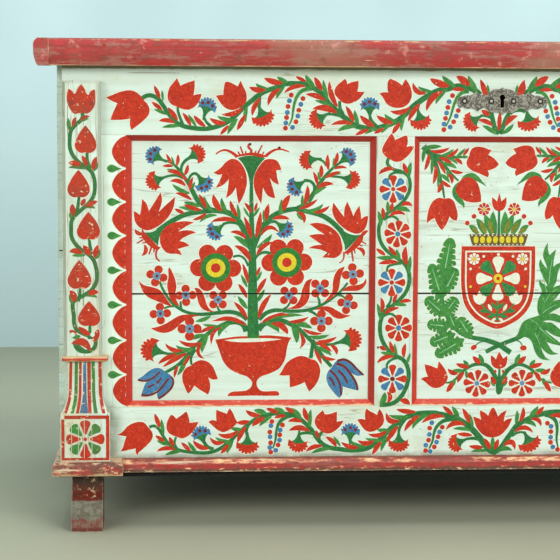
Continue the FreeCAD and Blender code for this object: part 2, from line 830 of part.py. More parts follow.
def back_strap_nails():
    nails = []
    for side in (-1, 1):
        for z in strap_nail_places(z_hinge - back_strap_length, z_hinge):
            point = Vector(side * hinge_place, y_back + strap_thickness, z)
            nails.append(nail(point, Vector(0, -1, 0), strap_nail_length, nail_head_radius))
    return nails


def lid_strap_nails():
    nails = []
    for side in (-1, 1):
        for y in strap_nail_places(y_back - lid_strap_length, y_back_inside):
            point = Vector(side * hinge_place, y, z_rim - strap_thickness)
            nails.append(nail(point, Vector(0, 0, 1), strap_nail_length, nail_head_radius))
    return nails


def lock_nails():
    nails = []
    z1 = z_rim - case_drop
    for side in (-1, 1):
        x = side * (case_width + case_flange) / 2
        for z in (z1 - case_flange, z1 - case_height + case_flange):
            point = Vector(x, y_front_inside + case_wall, z)
            nails.append(nail(point, Vector(0, -1, 0), pin_nail_length, pin_nail_head_radius))
    return nails


def escutcheon_nails():
    nails = []
    y_face = y_frame - escutcheon_thickness
    z = z_rim - escutcheon_drop
    for side in (-1, 1):
        for share in escutcheon_nail_shares:
            x = side * escutcheon_width / 2 * (1 - share * 2)
            nails.append(nail(Vector(x, y_face, z), Vector(0, 1, 0), pin_nail_length, pin_nail_head_radius))
    return nails


def lid_edge_nails():
    """Nails through the lid's mouldings into the edges and ends of its boards."""
    nails = []
    z = z_rim + lid_thickness / 2
    y_face = y_lid_board - lid_moulding_thickness
    for x in spread(-lid_half_length, lid_half_length, base_nail_count):
        nails.append(nail(Vector(x, y_face, z), Vector(0, 1, 0), nail_length, nail_head_radius))
    for side in (-1, 1):
        x_face = side * (lid_half_length + lid_moulding_thickness)
        for y in spread(y_lid_board, y_lid_rear, side_nail_count):
            nails.append(nail(Vector(x_face, y, z), Vector(-side, 0, 0), nail_length, nail_head_radius))
    return nails


def staple_nails():
    x = (staple_flange_length + staple_thickness) / 4
    z = z_rim - staple_flange_thickness
    return [nail(Vector(side * x, y_lock, z), Vector(0, 0, 1), pin_nail_length, pin_nail_head_radius)
            for side in (-1, 1)]


def build():
    """Every node by name."""
    nodes = {}
    wall, till_bottom = till_boards()
    till = Part.makeCompound([wall, till_bottom])
    front_lower, front_upper = front_boards()
    back_lower, back_upper = back_boards()
    nodes["till_wall"], nodes["till_bottom"] = wall, till_bottom
    nodes["front_board_lower"], nodes["front_board_upper"] = front_lower.cut(till), front_upper.cut(till)
    nodes["back_board_lower"], nodes["back_board_upper"] = back_lower.cut(till), back_upper.cut(till)
    corners = Part.makeCompound([front_lower, front_upper, back_lower, back_upper])
    for side, name in ((-1, "left"), (1, "right")):
        low, high = side_boards(side, corners)
        nodes[name + "_side_board_lower"], nodes[name + "_side_board_upper"] = low, high
    for name, board in zip(("front", "middle", "back"), bottom_boards()):
        nodes["bottom_board_" + name] = board
    nodes["front_top_rail"], nodes["front_bottom_rail"] = top_rail(), bottom_rail()

    left_panel = panel_moulding(-x_side_opening, -x_side_opening + side_opening_width)
    nodes["left_panel_moulding"], nodes["right_panel_moulding"] = left_panel, mirrored(left_panel)
    nodes["centre_panel_moulding"] = panel_moulding(-centre_opening_width / 2, centre_opening_width / 2)
    twins = {
        "stile": stile(), "muntin": muntin(), "pilaster": pilaster(), "pilaster_bead": bead(),
        "plinth_block": plinth_block(), "corner_moulding": corner_moulding(),
        "side_base_moulding": side_base_moulding(),
    }
    for name, piece in twins.items():
        nodes["left_" + name], nodes["right_" + name] = piece, mirrored(piece)
    nodes["front_base_moulding"] = front_base_moulding()
    front_foot = foot(y_frame - foot_toe_projection)
    back_foot = turned_back(foot(-y_back))
    nodes["front_left_foot"], nodes["front_right_foot"] = front_foot, mirrored(front_foot)
    nodes["back_left_foot"], nodes["back_right_foot"] = back_foot, mirrored(back_foot)
    for name, x in (("left", -hinge_place), ("right", hinge_place)):
        nodes[name + "_hinge_back_strap"], nodes[name + "_hinge_lid_strap"] = back_strap(x), lid_strap(x)
    nodes["hinge_pins"] = Part.makeCompound([hinge_pin(-hinge_place), hinge_pin(hinge_place)])

    for name, board in zip(("front", "middle", "back"), lid_boards()):
        nodes["lid_board_" + name] = board
    nodes["lid_front_moulding"] = lid_front_moulding()
    nodes["lid_left_cleat"], nodes["lid_right_cleat"] = lid_cleat(), mirrored(lid_cleat())
    nodes["lid_battens"] = Part.makeCompound([batten(), mirrored(batten())])

    nodes["escutcheon"] = escutcheon()
    nodes["lock_case"], nodes["lock_bolt"] = lock_case(), lock_bolt()
    nodes["lock_spring"], nodes["lock_key_post"] = lock_spring(), key_post()
    nodes["lid_staple"] = lid_staple()
    nodes["escutcheon_nails"] = Part.makeCompound(escutcheon_nails())
    body_nails = pilaster_nails() + base_nails() + back_strap_nails() + lock_nails()
    nodes["carcass_nails"] = Part.makeCompound(body_nails)
    nodes["lid_nails"] = Part.makeCompound(lid_strap_nails() + lid_edge_nails() + staple_nails())
    return nodes


LID_NODES = ("lid_board_front", "lid_board_middle", "lid_board_back", "lid_front_moulding",
             "lid_left_cleat", "lid_right_cleat", "left_hinge_lid_strap", "right_hinge_lid_strap",
             "lid_staple")
NAILED_NODES = ("front_board_upper", "front_board_lower", "back_board_upper", "front_top_rail",
                "left_stile", "right_stile", "left_pilaster", "right_pilaster", "bottom_board_front",
                "bottom_board_middle", "bottom_board_back", "front_base_moulding",
                "left_side_base_moulding", "right_side_base_moulding", "left_hinge_back_strap",
                "right_hinge_back_strap", "lock_case", "escutcheon", "left_side_board_lower",
                "right_side_board_lower", "front_bottom_rail")


def drive(nodes, names, nails):
    """Cuts the nails' own holes in the pieces that they hold."""
    for name in names:
        hit = [n for n in nails.Solids if n.BoundBox.intersect(nodes[name].BoundBox)]
        if hit:
            nodes[name] = nodes[name].cut(Part.makeCompound(hit))


def main():
    os.makedirs(PARTS, exist_ok=True)
    nodes = build()
    drive(nodes, LID_NODES, nodes["lid_nails"])
    body_nails = Part.makeCompound(nodes["carcass_nails"].Solids + nodes["escutcheon_nails"].Solids)
    drive(nodes, NAILED_NODES, body_nails)
    for name, shape in nodes.items():
        save(name, shape)
    print(len(nodes), "nodes,", sum(len(s.Solids) for s in nodes.values()), "solids")


main()
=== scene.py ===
import bpy
import bmesh
from math import cos, pi, radians, sin
from mathutils import Matrix, Vector
from mathutils.bvhtree import BVHTree
from mathutils.geometry import intersect_line_line_2d


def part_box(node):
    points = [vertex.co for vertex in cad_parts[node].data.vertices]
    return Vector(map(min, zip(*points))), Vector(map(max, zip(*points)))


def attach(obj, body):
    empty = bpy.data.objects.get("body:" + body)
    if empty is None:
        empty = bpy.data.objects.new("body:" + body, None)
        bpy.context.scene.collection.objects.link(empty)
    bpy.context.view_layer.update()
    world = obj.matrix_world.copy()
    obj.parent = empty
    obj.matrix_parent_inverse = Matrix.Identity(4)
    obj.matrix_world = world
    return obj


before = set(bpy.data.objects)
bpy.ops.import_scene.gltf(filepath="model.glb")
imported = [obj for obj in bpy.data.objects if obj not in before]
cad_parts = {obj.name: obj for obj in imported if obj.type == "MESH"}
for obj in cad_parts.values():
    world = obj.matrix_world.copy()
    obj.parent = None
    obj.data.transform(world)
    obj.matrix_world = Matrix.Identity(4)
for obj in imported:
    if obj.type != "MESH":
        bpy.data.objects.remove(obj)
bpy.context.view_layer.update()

MM = 0.001
scene = bpy.context.scene
scene.view_settings.view_transform = "Standard"
scene.view_settings.look = "None"


# Places on the chest, read from the frame in millimetres

def low(node):
    """The least x, y and z of a piece."""
    return [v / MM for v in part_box(node)[0]]


def high(node):
    """The greatest x, y and z of a piece."""
    return [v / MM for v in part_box(node)[1]]


def middle_of(node):
    """The x halfway along a piece."""
    return (low(node)[0] + high(node)[0]) / 2


FRAME_FACE = low("left_stile")[1]
PANEL_FACE = low("front_board_lower")[1]
PILASTER_FACE = low("left_pilaster")[1]
OPENING_LEFT = high("left_stile")[0]
OPENING_BOTTOM = high("front_bottom_rail")[2]
OPENING_TOP = low("front_top_rail")[2]
BOTTOM_RAIL_ORIGIN = OPENING_BOTTOM - 76
BOARD_SEAM = (high("front_board_lower")[2] + low("front_board_upper")[2]) / 2
SEAM_GAP = low("front_board_upper")[2] - high("front_board_lower")[2]
SEAM = (BOARD_SEAM - SEAM_GAP / 2, BOARD_SEAM + SEAM_GAP / 2)


# Node trees

class Tree:
    """A material's node tree, with one short call for each kind of node."""

    def __init__(self, name):
        self.material = bpy.data.materials.new(name)
        self.material.use_nodes = True
        self.nodes = self.material.node_tree.nodes
        self.links = self.material.node_tree.links
        self.shader = self.nodes["Principled BSDF"]
        self.place = self.add("ShaderNodeTexCoord").outputs["Object"]

    def add(self, kind, **values):
        """A new node with the given settings."""
        node = self.nodes.new(kind)
        for key, value in values.items():
            setattr(node, key, value)
        return node

    def feed(self, socket, value):
        """Links a socket, or sets the value of an input."""
        if isinstance(value, bpy.types.NodeSocket):
            self.links.new(value, socket)
        elif isinstance(value, tuple) and len(value) == 3 and socket.type == "RGBA":
            socket.default_value = (*value, 1)
        else:
            socket.default_value = value

    def stretched(self, scale, shift=(0, 0, 0)):
        """The place on the piece, scaled and shifted."""
        node = self.add("ShaderNodeMapping")
        self.feed(node.inputs["Vector"], self.place)
        node.inputs["Scale"].default_value = scale
        node.inputs["Location"].default_value = shift
        return node.outputs["Vector"]

    def noise(self, where, scale, detail=3, roughness=0.5, bend=0):
        """Clouds from 0 to 1."""
        node = self.add("ShaderNodeTexNoise")
        self.feed(node.inputs["Vector"], where)
        node.inputs["Scale"].default_value = scale
        node.inputs["Detail"].default_value = detail
        node.inputs["Roughness"].default_value = roughness
        node.inputs["Distortion"].default_value = bend
        return node.outputs["Fac"]

    def cells(self, where, scale, feature="F1"):
        """Distance to the nearest cell point or edge."""
        node = self.add("ShaderNodeTexVoronoi", feature=feature)
        self.feed(node.inputs["Vector"], where)
        node.inputs["Scale"].default_value = scale
        return node.outputs["Distance"]

    def ramp(self, value, start, end, low_value=0.0, high_value=1.0):
        """A smooth step from one value to another between start and end."""
        node = self.add("ShaderNodeMapRange", interpolation_type="SMOOTHSTEP")
        self.feed(node.inputs["Value"], value)
        for key, number in zip(("From Min", "From Max", "To Min", "To Max"),
                               (start, end, low_value, high_value)):
            self.feed(node.inputs[key], number)
        return node.outputs["Result"]

    def math(self, kind, a, b=0.0):
        node = self.add("ShaderNodeMath", operation=kind)
        self.feed(node.inputs[0], a)
        self.feed(node.inputs[1], b)
        return node.outputs["Value"]

    def mix(self, share, a, b):
        """Colour a where the share is 0 and b where it is 1."""
        node = self.add("ShaderNodeMix", data_type="RGBA")
        self.feed(node.inputs["Factor"], share)
        self.feed(node.inputs[6], a)
        self.feed(node.inputs[7], b)
        return node.outputs[2]

    def axis(self, name):
        """One coordinate of the place on the piece."""
        node = self.add("ShaderNodeSeparateXYZ")
        self.feed(node.inputs[0], self.place)
        return node.outputs[name]

    def arris_share(self, radius):
        """Near 1 along the arrises of a solid, 0 on its faces."""
        bevel = self.add("ShaderNodeBevel", samples=4)
        bevel.inputs["Radius"].default_value = radius
        flat = self.add("ShaderNodeNewGeometry").outputs["Normal"]
        dot = self.add("ShaderNodeVectorMath", operation="DOT_PRODUCT")
        self.feed(dot.inputs[0], bevel.outputs["Normal"])
        self.feed(dot.inputs[1], flat)
        return self.ramp(dot.outputs["Value"], 1.0, 0.8)

    def facing(self, name):
        """The part of the face's direction that points along one axis, from -1 to 1."""
        node = self.add("ShaderNodeSeparateXYZ")
        self.feed(node.inputs[0], self.add("ShaderNodeNewGeometry").outputs["True Normal"])
        return node.outputs[name]

    def finish(self, colour, roughness, height=None, strength=0.4, distance=0.0006, metal=0.0):
        """Feeds the surface and gives the material back."""
        self.feed(self.shader.inputs["Base Color"], colour)
        self.feed(self.shader.inputs["Roughness"], roughness)
        self.shader.inputs["Metallic"].default_value = metal
        if height is not None:
            bump = self.add("ShaderNodeBump")
            bump.inputs["Strength"].default_value = strength
            bump.inputs["Distance"].default_value = distance
            self.feed(bump.inputs["Height"], height)
            self.feed(self.shader.inputs["Normal"], bump.outputs["Normal"])
        return self.material


def tone(red, green, blue):
    """A colour as seen on a screen, 0 to 255, in the linear values that shaders take."""
    def one(value):
        value /= 255
        return value / 12.92 if value <= 0.04045 else ((value + 0.055) / 1.055) ** 2.4
    return (one(red), one(green), one(blue))


ALONG = {"x": (1.2, 26, 26), "y": (26, 1.2, 26), "z": (26, 26, 1.2)}


def grain(tree, along, seed):
    """Fine wood fibre that runs along one axis."""
    return tree.noise(tree.stretched(ALONG[along], (seed, seed * 0.7, seed * 1.3)), 3.0, 6, 0.62, 0.25)


def rings(tree, along, seed):
    """The wood's yearly rings as the saw has cut them: wavering lines along one axis."""
    shrink = tuple(0.05 if axis == along else 1 for axis in "xyz")
    wave = tree.add("ShaderNodeTexWave", bands_direction="DIAGONAL")
    tree.feed(wave.inputs["Vector"], tree.stretched(shrink, (seed * 0.37, seed * 0.11, seed * 0.23)))
    for key, number in (("Scale", 62), ("Distortion", 11), ("Detail", 3), ("Detail Scale", 0.14)):
        wave.inputs[key].default_value = number
    return wave.outputs["Fac"]


def bare_colour(tree, along, seed):
    """Aged unpainted pine: honey brown and grey, with darker summer rings and a few knots."""
    fibre = grain(tree, along, seed)
    broad = tree.noise(tree.stretched((1, 1, 1), (seed, 0, seed)), 4.0, 2)
    colour = tree.mix(tree.ramp(fibre, 0.32, 0.68), tone(146, 116, 80), tone(182, 150, 108))
    colour = tree.mix(tree.ramp(rings(tree, along, seed), 0.5, 0.95, 0, 0.5), colour, tone(124, 86, 50))
    colour = tree.mix(tree.ramp(broad, 0.45, 0.7, 0, 0.55), colour, tone(130, 118, 98))
    squeezed = tuple(0.6 if axis == along else 1 for axis in "xyz")
    knots = tree.ramp(tree.cells(tree.stretched(squeezed, (seed, seed, 0)), 7.0), 0.085, 0.05, 0, 0.85)
    return tree.mix(knots, colour, tone(88, 56, 32)), fibre


def outside(tree, axis, value, sign, soft=0.0):
    """1 beyond a plane across the axis and 0 before it. Given in millimetres; soft blurs the border."""
    gap = tree.math("MULTIPLY", tree.math("SUBTRACT", tree.axis(axis), value * MM), sign)
    return tree.ramp(gap, -(soft + 0.01) * MM, (soft + 0.01) * MM)


def ragged(tree, axis, value, sign, noise, reach):
    """The same with a border that a noise pushes to and fro by reach millimetres."""
    gap = tree.math("MULTIPLY", tree.math("SUBTRACT", tree.axis(axis), value * MM), sign)
    push = tree.math("MULTIPLY", tree.math("SUBTRACT", noise, 0.5), 4 * reach * MM)
    return tree.ramp(tree.math("ADD", gap, push), -0.4 * MM, 0.4 * MM)


def cracked(tree, along, seed, width=0.008, close=0.4):
    """Thin broken lines along the grain, where the paint has split with the wood."""
    stretch = tuple(v * close for v in ALONG[along])
    field = tree.noise(tree.stretched(stretch, (seed * 3, seed, seed * 2)), 4.0, 2, 0.4, 0.3)
    line = tree.ramp(tree.math("ABSOLUTE", tree.math("SUBTRACT", field, 0.5)), width, width * 0.4)
    patchy = tree.noise(tree.stretched((1, 1, 1), (seed, seed * 2, 1)), 9.0, 3)
    return tree.math("MULTIPLY", line, tree.ramp(patchy, 0.47, 0.6))


def painted(name, colour, dull, along, seed, planes=(), chips=0.62, edge=0.0025, edge_tone=(214, 205, 180),
            dust=0.25, dust_tone=(168, 160, 140), streak=0.5, cracks=0.0, painted_shade=(), tint=None):
    """Old casein paint on wood: brush streaks, dust, chips down to the cream ground, worn arrises.

    planes are (axis, millimetres, sign): where given, only what lies beyond one of them is painted.
    The shade rows are (axis, start, end, share): painted shade, broken up by a fine noise, that fades out
    between two heights or places.
    tint may change the colour in a way of its own before the chips are laid on."""
    tree = Tree(name)
    fibre = grain(tree, along, seed)
    broad = tree.noise(tree.stretched((1, 1, 1), (seed, seed, 0)), 6.0, 4)
    fine = tree.noise(tree.stretched((1, 1, 1), (0, seed, seed)), 55.0, 5, 0.7)
    base = tree.mix(tree.ramp(fibre, 0.36, 0.66, 0, streak), tone(*colour), tone(*dull))
    base = tree.mix(tree.ramp(broad, 0.5, 0.72, 0, dust), base, tone(*dust_tone))
    if tint:
        base = tint(tree, base, broad, fine)
    # Painted shade: an olive darkening, broken up by noise, that fades out between two heights.
    for axis, start, end, share in painted_shade:
        reach = tree.ramp(tree.axis(axis), start * MM, end * MM, share, 0.0)
        spots = tree.math("MULTIPLY", reach, tree.ramp(fine, 0.3, 0.62))
        base = tree.mix(spots, base, tone(128, 122, 88))
    if cracks:
        lines = tree.math("MAXIMUM", cracked(tree, along, seed), cracked(tree, along, seed + 0.4, 0.014, 1.2))
        base = tree.mix(tree.math("MULTIPLY", lines, cracks), base, tone(140, 136, 108))
    flakes = tree.noise(tree.stretched(tuple(v * 0.5 for v in ALONG[along]), (seed, 0, seed)), 6.0, 6, 0.7)
    loss = tree.ramp(flakes, chips, chips + 0.03)
    if edge:
        near = tree.arris_share(edge)
        nicks = tree.noise(tree.stretched((1, 1, 1), (seed, 0.4, seed)), 120.0, 4, 0.65)
        torn = tree.ramp(tree.math("ADD", near, tree.math("MULTIPLY", nicks, 0.9)), 1.34, 1.46)
        loss = tree.math("MAXIMUM", loss, tree.math("MULTIPLY", torn, tree.ramp(near, 0.05, 0.3)))
    base = tree.mix(loss, base, tone(*edge_tone))
    height = tree.math("SUBTRACT", tree.math("MULTIPLY", fibre, 0.5), tree.math("MULTIPLY", loss, 0.4))
    roughness = tree.ramp(fibre, 0.2, 0.8, 0.47, 0.67)
    if planes:
        wood, _ = bare_colour(tree, along, seed + 3)
        cover = outside(tree, *planes[0])
        for plane in planes[1:]:
            cover = tree.math("MAXIMUM", cover, outside(tree, *plane))
        base = tree.mix(cover, wood, base)
    return tree.finish(base, roughness, height)


GROUND = (207, 225, 212)
GROUND_DULL = (190, 205, 186)


def dress(node, material):
    """The node's faces all take this material."""
    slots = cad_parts[node].material_slots
    for number in range(len(slots)):
        slots[number].material = material


def speckled(tree, base, broad, fine):
    """Small dark flecks, most of them in patches, and faint ochre and grey smears."""
    flecks = tree.noise(tree.stretched((1, 1, 1), (0.3, 0, 0.7)), 210.0, 3, 0.6)
    crowd = tree.noise(tree.stretched((1, 1, 1), (0.1, 0, 0.9)), 14.0, 3, 0.6)
    smear = tree.noise(tree.stretched((3, 3, 7), (0.4, 0, 0.2)), 3.0, 4, 0.6)
    base = tree.mix(tree.ramp(smear, 0.56, 0.7, 0, 0.4), base, tone(190, 182, 136))
    base = tree.mix(tree.ramp(crowd, 0.56, 0.68, 0, 0.35), base, tone(170, 178, 156))
    thick = tree.math("MULTIPLY", tree.ramp(flecks, 0.66, 0.7), tree.ramp(crowd, 0.42, 0.6, 0.15, 0.8))
    return tree.mix(thick, base, tone(112, 108, 84))


def flanks(tree, base, broad, fine):
    """The half pilasters: cream rubbed into ochre, and the faces that look sideways painted a duller
    grey-green, which is painted shade.
    """
    base = speckled(tree, base, broad, fine)
    worn = tree.math("MULTIPLY", tree.ramp(broad, 0.42, 0.6),
                     tree.ramp(tree.axis("Z"), 0.54, 0.30, 0.25, 0.8))
    base = tree.mix(worn, base, tone(206, 204, 168))
    base = tree.mix(tree.math("MULTIPLY", worn, tree.ramp(fine, 0.5, 0.62)), base, tone(172, 150, 112))
    # Painted shade: faces that look sideways are a duller grey-green, broken up by noise.
    sideways_shade = tree.ramp(tree.math("ABSOLUTE", tree.facing("X")), 0.25, 0.6)
    sideways_shade = tree.math("MULTIPLY", sideways_shade, tree.ramp(fine, 0.2, 0.6, 0.55, 1.0))
    return tree.mix(sideways_shade, base, tone(176, 184, 166))


def ground(name, along, seed, planes=(), painted_shade=(), tint=speckled, cracks=0.6):
    """The pale blue-green paint of the frame, the panels and the box."""
    return painted(name, GROUND, GROUND_DULL, along, seed, planes, chips=0.71, edge=0.0015,
                   edge_tone=(150, 140, 108), dust=0.5, dust_tone=(190, 198, 172), streak=0.75,
                   cracks=cracks, painted_shade=painted_shade, tint=tint)


def dusty(tree, base, broad, fine):
    """Grey and pink scuffs that run along the red boards."""
    scuff = tree.noise(tree.stretched((6.0, 30, 30), (4, 1, 2)), 3.0, 7, 0.75)
    base = tree.mix(tree.ramp(scuff, 0.48, 0.58, 0, 0.75), base, tone(160, 104, 92))
    base = tree.mix(tree.ramp(scuff, 0.46, 0.36, 0, 0.7), base, tone(190, 46, 46))
    base = tree.mix(tree.ramp(broad, 0.5, 0.62, 0, 0.45), base, tone(152, 116, 92))
    base = tree.mix(tree.ramp(fine, 0.54, 0.66, 0, 0.6), base, tone(116, 62, 48))
    return tree.mix(tree.ramp(fine, 0.42, 0.34, 0, 0.6), base, tone(206, 140, 124))


def worn_red(name, along, seed, planes=(), chips=0.66, tint=dusty):
    """The rubbed red paint of the mouldings."""
    return painted(name, (168, 44, 38), (138, 46, 40), along, seed, planes, chips, edge=0.0016,
                   edge_tone=(214, 188, 156), dust=0.4, dust_tone=(152, 96, 84), streak=0.7, tint=tint)


def bare_wood(name, along, seed, shaded_underneath=False):
    """On the bottom boards the faces looking down are painted dark brown and the front edges near black:
    painted shade under the chest.
    """
    tree = Tree(name)
    colour, fibre = bare_colour(tree, along, seed)
    if shaded_underneath:
        # Painted shade: darker faces looking down, and near-black front edges.
        colour = tree.mix(tree.ramp(tree.facing("Z"), 0.2, -0.2, 0, 0.75), colour, tone(62, 50, 36))
        edge = tree.math("MULTIPLY", tree.ramp(tree.facing("Y"), -0.3, -0.7), outside(tree, "Y", -100, -1))
        colour = tree.mix(edge, colour, tone(10, 8, 5))
    return tree.finish(colour, 0.8, fibre, 0.5, 0.001)


def iron(name, light, dark, rust, rough=0.5):
    """Forged iron with a dull oxide skin and rust in the hollows."""
    tree = Tree(name)
    grainy = tree.noise(tree.place, 260.0, 5, 0.6)
    broad = tree.noise(tree.place, 40.0, 4)
    colour = tree.mix(tree.ramp(grainy, 0.35, 0.65), tone(*dark), tone(*light))
    colour = tree.mix(tree.ramp(broad, 0.5, 0.68), colour, tone(*rust))
    return tree.finish(colour, tree.ramp(broad, 0.4, 0.7, rough, rough + 0.3), grainy, 0.3, 0.0005, 0.75)


def nails(name, rows):
    """Iron nails. rows are (colour, planes): heads beyond all of the planes are painted over."""
    tree = Tree(name)
    grainy = tree.noise(tree.place, 400.0, 4, 0.6)
    colour = tree.mix(tree.ramp(grainy, 0.35, 0.65), tone(48, 45, 42), tone(96, 90, 82))
    metal = 0.4
    for paint, planes in rows:
        cover = outside(tree, *planes[0])
        for plane in planes[1:]:
            cover = tree.math("MULTIPLY", cover, outside(tree, *plane))
        colour = tree.mix(cover, colour, tone(*paint))
    return tree.finish(colour, 0.65, grainy, 0.3, 0.0004, metal)


def nail_ring(tree, far, near):
    """1 near each of the escutcheon's four nails and 0 far from them, in millimetres."""
    half, middle = high("escutcheon")[0], (low("escutcheon_nails")[2] + high("escutcheon_nails")[2]) / 2
    up = tree.math("SUBTRACT", tree.axis("Z"), middle * MM)
    shares = []
    for place in (0.83 * half, 0.244 * half):
        across = tree.math("SUBTRACT", tree.math("ABSOLUTE", tree.axis("X")), place * MM)
        squares = tree.math("ADD", tree.math("MULTIPLY", across, across), tree.math("MULTIPLY", up, up))
        shares.append(tree.ramp(tree.math("SQRT", squares), far * MM, near * MM))
    return tree.math("MAXIMUM", *shares)


def engraved(name):
    """Aged sheet iron with close scrolled engraving, a painted highlight along its edges and painted shade
    round each nail.
    """
    tree = Tree(name)
    curls = tree.cells(tree.stretched((1, 1, 1), (0.3, 0, 0.1)), 260.0, "SMOOTH_F1")
    fine = tree.noise(tree.place, 480.0, 4, 0.7, 1.2)
    cut = tree.ramp(tree.math("ABSOLUTE", tree.math("SUBTRACT", curls, 0.36)), 0.05, 0.13)
    colour = tree.mix(tree.ramp(fine, 0.38, 0.58), tone(80, 77, 66), tone(158, 154, 140))
    colour = tree.mix(tree.math("MULTIPLY", tree.math("SUBTRACT", 1.0, cut), 0.8), colour, tone(52, 49, 40))
    # Painted highlight along the plate's edges and the keyhole's rim.
    rim = tree.arris_share(0.0016)
    colour = tree.mix(tree.math("MULTIPLY", rim, 0.7), colour, tone(188, 186, 168))
    # Painted shade in a dark ring round each nail.
    colour = tree.mix(nail_ring(tree, 4.6, 3.4), colour, tone(30, 28, 22))
    return tree.finish(colour, 0.5, tree.math("ADD", cut, tree.math("MULTIPLY", fine, 0.5)), 0.6, 0.0005,
                       0.35)


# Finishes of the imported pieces

BODY_END = high("right_side_board_upper")[0]
RAIL_FOOT = low("front_bottom_rail")[2]
RIM = high("front_top_rail")[2]
PLINTH_TOP = high("left_plinth_block")[2]


def rail_smears_and_shade(tree, base, broad, fine):
    """Ochre smears; painted shade in the corners beside the plinth blocks; a darkening along the foot of the
    rail above the base moulding.
    """
    # Painted shade in the corners beside the plinth blocks; below darkens the rail's foot above the base
    # moulding.
    beside = tree.ramp(tree.math("ABSOLUTE", tree.axis("X")), 0.500, 0.524, 0.0, 0.75)
    below = tree.ramp(tree.axis("Z"), (RAIL_FOOT + 17) * MM, (RAIL_FOOT + 6) * MM, 0.0, 0.8)
    base = tree.mix(0.3, speckled(tree, base, broad, fine), tone(222, 238, 224))
    darkening = tree.math("MAXIMUM", tree.math("MULTIPLY", beside, tree.ramp(tree.axis("Z"), 0.19, 0.15)), below)
    return tree.mix(tree.math("MULTIPLY", darkening, tree.ramp(fine, 0.25, 0.6, 0.3, 1.0)), base,
                    tone(118, 116, 84))


def holed(tree, base, broad, fine):
    """The keyhole's walls behind the plate and the edges of the boards' open seam are painted near black, and
    a ragged olive band is painted below the lid's moulding: all of it painted shade.
    """
    base = tree.mix(0.25, speckled(tree, base, broad, fine), tone(220, 240, 230))
    # Painted shade: the keyhole's walls, where no light reaches.
    inside = tree.math("MULTIPLY", outside(tree, "X", -8, 1), outside(tree, "X", 8, -1))
    inside = tree.math("MULTIPLY", inside, outside(tree, "Y", FRAME_FACE + 0.4, 1))
    inside = tree.math("MULTIPLY", inside, outside(tree, "Z", RIM - 80, 1))
    base = tree.mix(inside, base, tone(24, 20, 15))
    # Painted shadow of the lid's moulding on the rail below it.
    band = ragged(tree, "Z", low("lid_front_moulding")[2] - 3.4, 1, fine, 1.0)
    base = tree.mix(tree.math("MULTIPLY", band, 0.85), base, tone(118, 100, 54))
    # Painted shade inside the open seam between the boards.
    off = tree.math("ABSOLUTE", tree.math("SUBTRACT", tree.axis("Z"), BOARD_SEAM * MM))
    return tree.mix(tree.ramp(off, (SEAM_GAP / 2 + 0.7) * MM, (SEAM_GAP / 2 + 0.1) * MM), base,
                    tone(34, 28, 20))


def bleached(tree, base, broad, fine):
    """The stiles' ground is paler than the rest, with the same smears, painted shade beside the plinth blocks
    and darkening at its foot.
    """
    return rail_smears_and_shade(tree, tree.mix(0.7, base, tone(226, 245, 230)), broad, fine)


# Painted shade on the top rail just below the lid's overhanging moulding.
dress("front_top_rail", ground("ground_top_rail", "x", 1.0, painted_shade=(("Z", RIM - 9, RIM - 22, 0.3),),
                               tint=holed))
dress("front_bottom_rail", ground("ground_bottom_rail", "x", 2.0, tint=rail_smears_and_shade))
for number, node in enumerate(("left_stile", "right_stile", "left_muntin", "right_muntin")):
    dress(node, ground("ground_" + node, "z", 4.0 + number, tint=bleached if "stile" in node else speckled))
for number, node in enumerate(("left_pilaster", "right_pilaster")):
    dress(node, ground("ground_" + node, "z", 9.0 + number, tint=flanks, cracks=1.0))
for number, node in enumerate(("front_board_lower", "front_board_upper")):
    planes = (("Y", PANEL_FACE + 14, -1), ("X", BODY_END - 3, 1), ("X", 3 - BODY_END, -1))
    dress(node, ground("ground_" + node, "x", 12.0 + number, planes, tint=holed))
for side, sign in (("left", -1), ("right", 1)):
    for number, part in enumerate(("side_board_lower", "side_board_upper")):
        planes = (("X", sign * (BODY_END - 3), sign), ("Y", PANEL_FACE + 3, -1))
        dress(f"{side}_{part}", ground(f"ground_{side}_{part}", "y", 15.0 + number + sign, planes,
                                       cracks=1.0))
for number, node in enumerate(("back_board_lower", "back_board_upper", "bottom_board_front",
                               "bottom_board_middle", "bottom_board_back", "lid_battens", "till_wall",
                               "till_bottom")):
    dress(node, bare_wood("pine_" + node, "y" if node.startswith("till") or "battens" in node else "x",
                          20.0 + number, node.startswith("bottom")))
LID_BOTTOM, LID_TOP = low("lid_board_front")[2], high("lid_board_front")[2]
LID_LIP, LID_FRONT = low("lid_front_moulding")[2], low("lid_front_moulding")[1]


def lid_edge(tree, base, broad, fine):
    """The lid's moulding: scuffs, and a line along each arris where the paint is rubbed through."""
    base = dusty(tree, base, broad, fine)
    patch = tree.noise(tree.stretched((9, 9, 9), (0, 3, 1)), 3.0, 5, 0.7)
    share = tree.math("MAXIMUM", tree.ramp(patch, 0.4, 0.5), tree.ramp(tree.axis("X"), -0.02, 0.05, 0, 0.8))
    top = tree.math("MULTIPLY", ragged(tree, "Z", LID_TOP - 2.0, 1, fine, 1.6), share)
    top = tree.math("MULTIPLY", top, ragged(tree, "Y", LID_FRONT + 4, -1, fine, 2.5))
    base = tree.mix(tree.math("MULTIPLY", top, 0.8), base, tone(206, 170, 116))
    bottom = tree.math("MULTIPLY", ragged(tree, "Z", LID_LIP + 0.9, -1, fine, 1.0),
                       tree.ramp(patch, 0.56, 0.44))
    return tree.mix(tree.math("MULTIPLY", bottom, 0.85), base, tone(214, 158, 116))


for number, node in enumerate(("lid_board_front", "lid_board_middle", "lid_board_back")):
    dress(node, worn_red("red_" + node, "x", 30.0 + number, (("Z", LID_BOTTOM + 3, 1),)))
for number, node in enumerate(("lid_left_cleat", "lid_right_cleat")):
    dress(node, worn_red("red_" + node, "y", 34.0 + number))
dress("lid_front_moulding", worn_red("red_lid_front_moulding", "x", 37.0, tint=lid_edge))


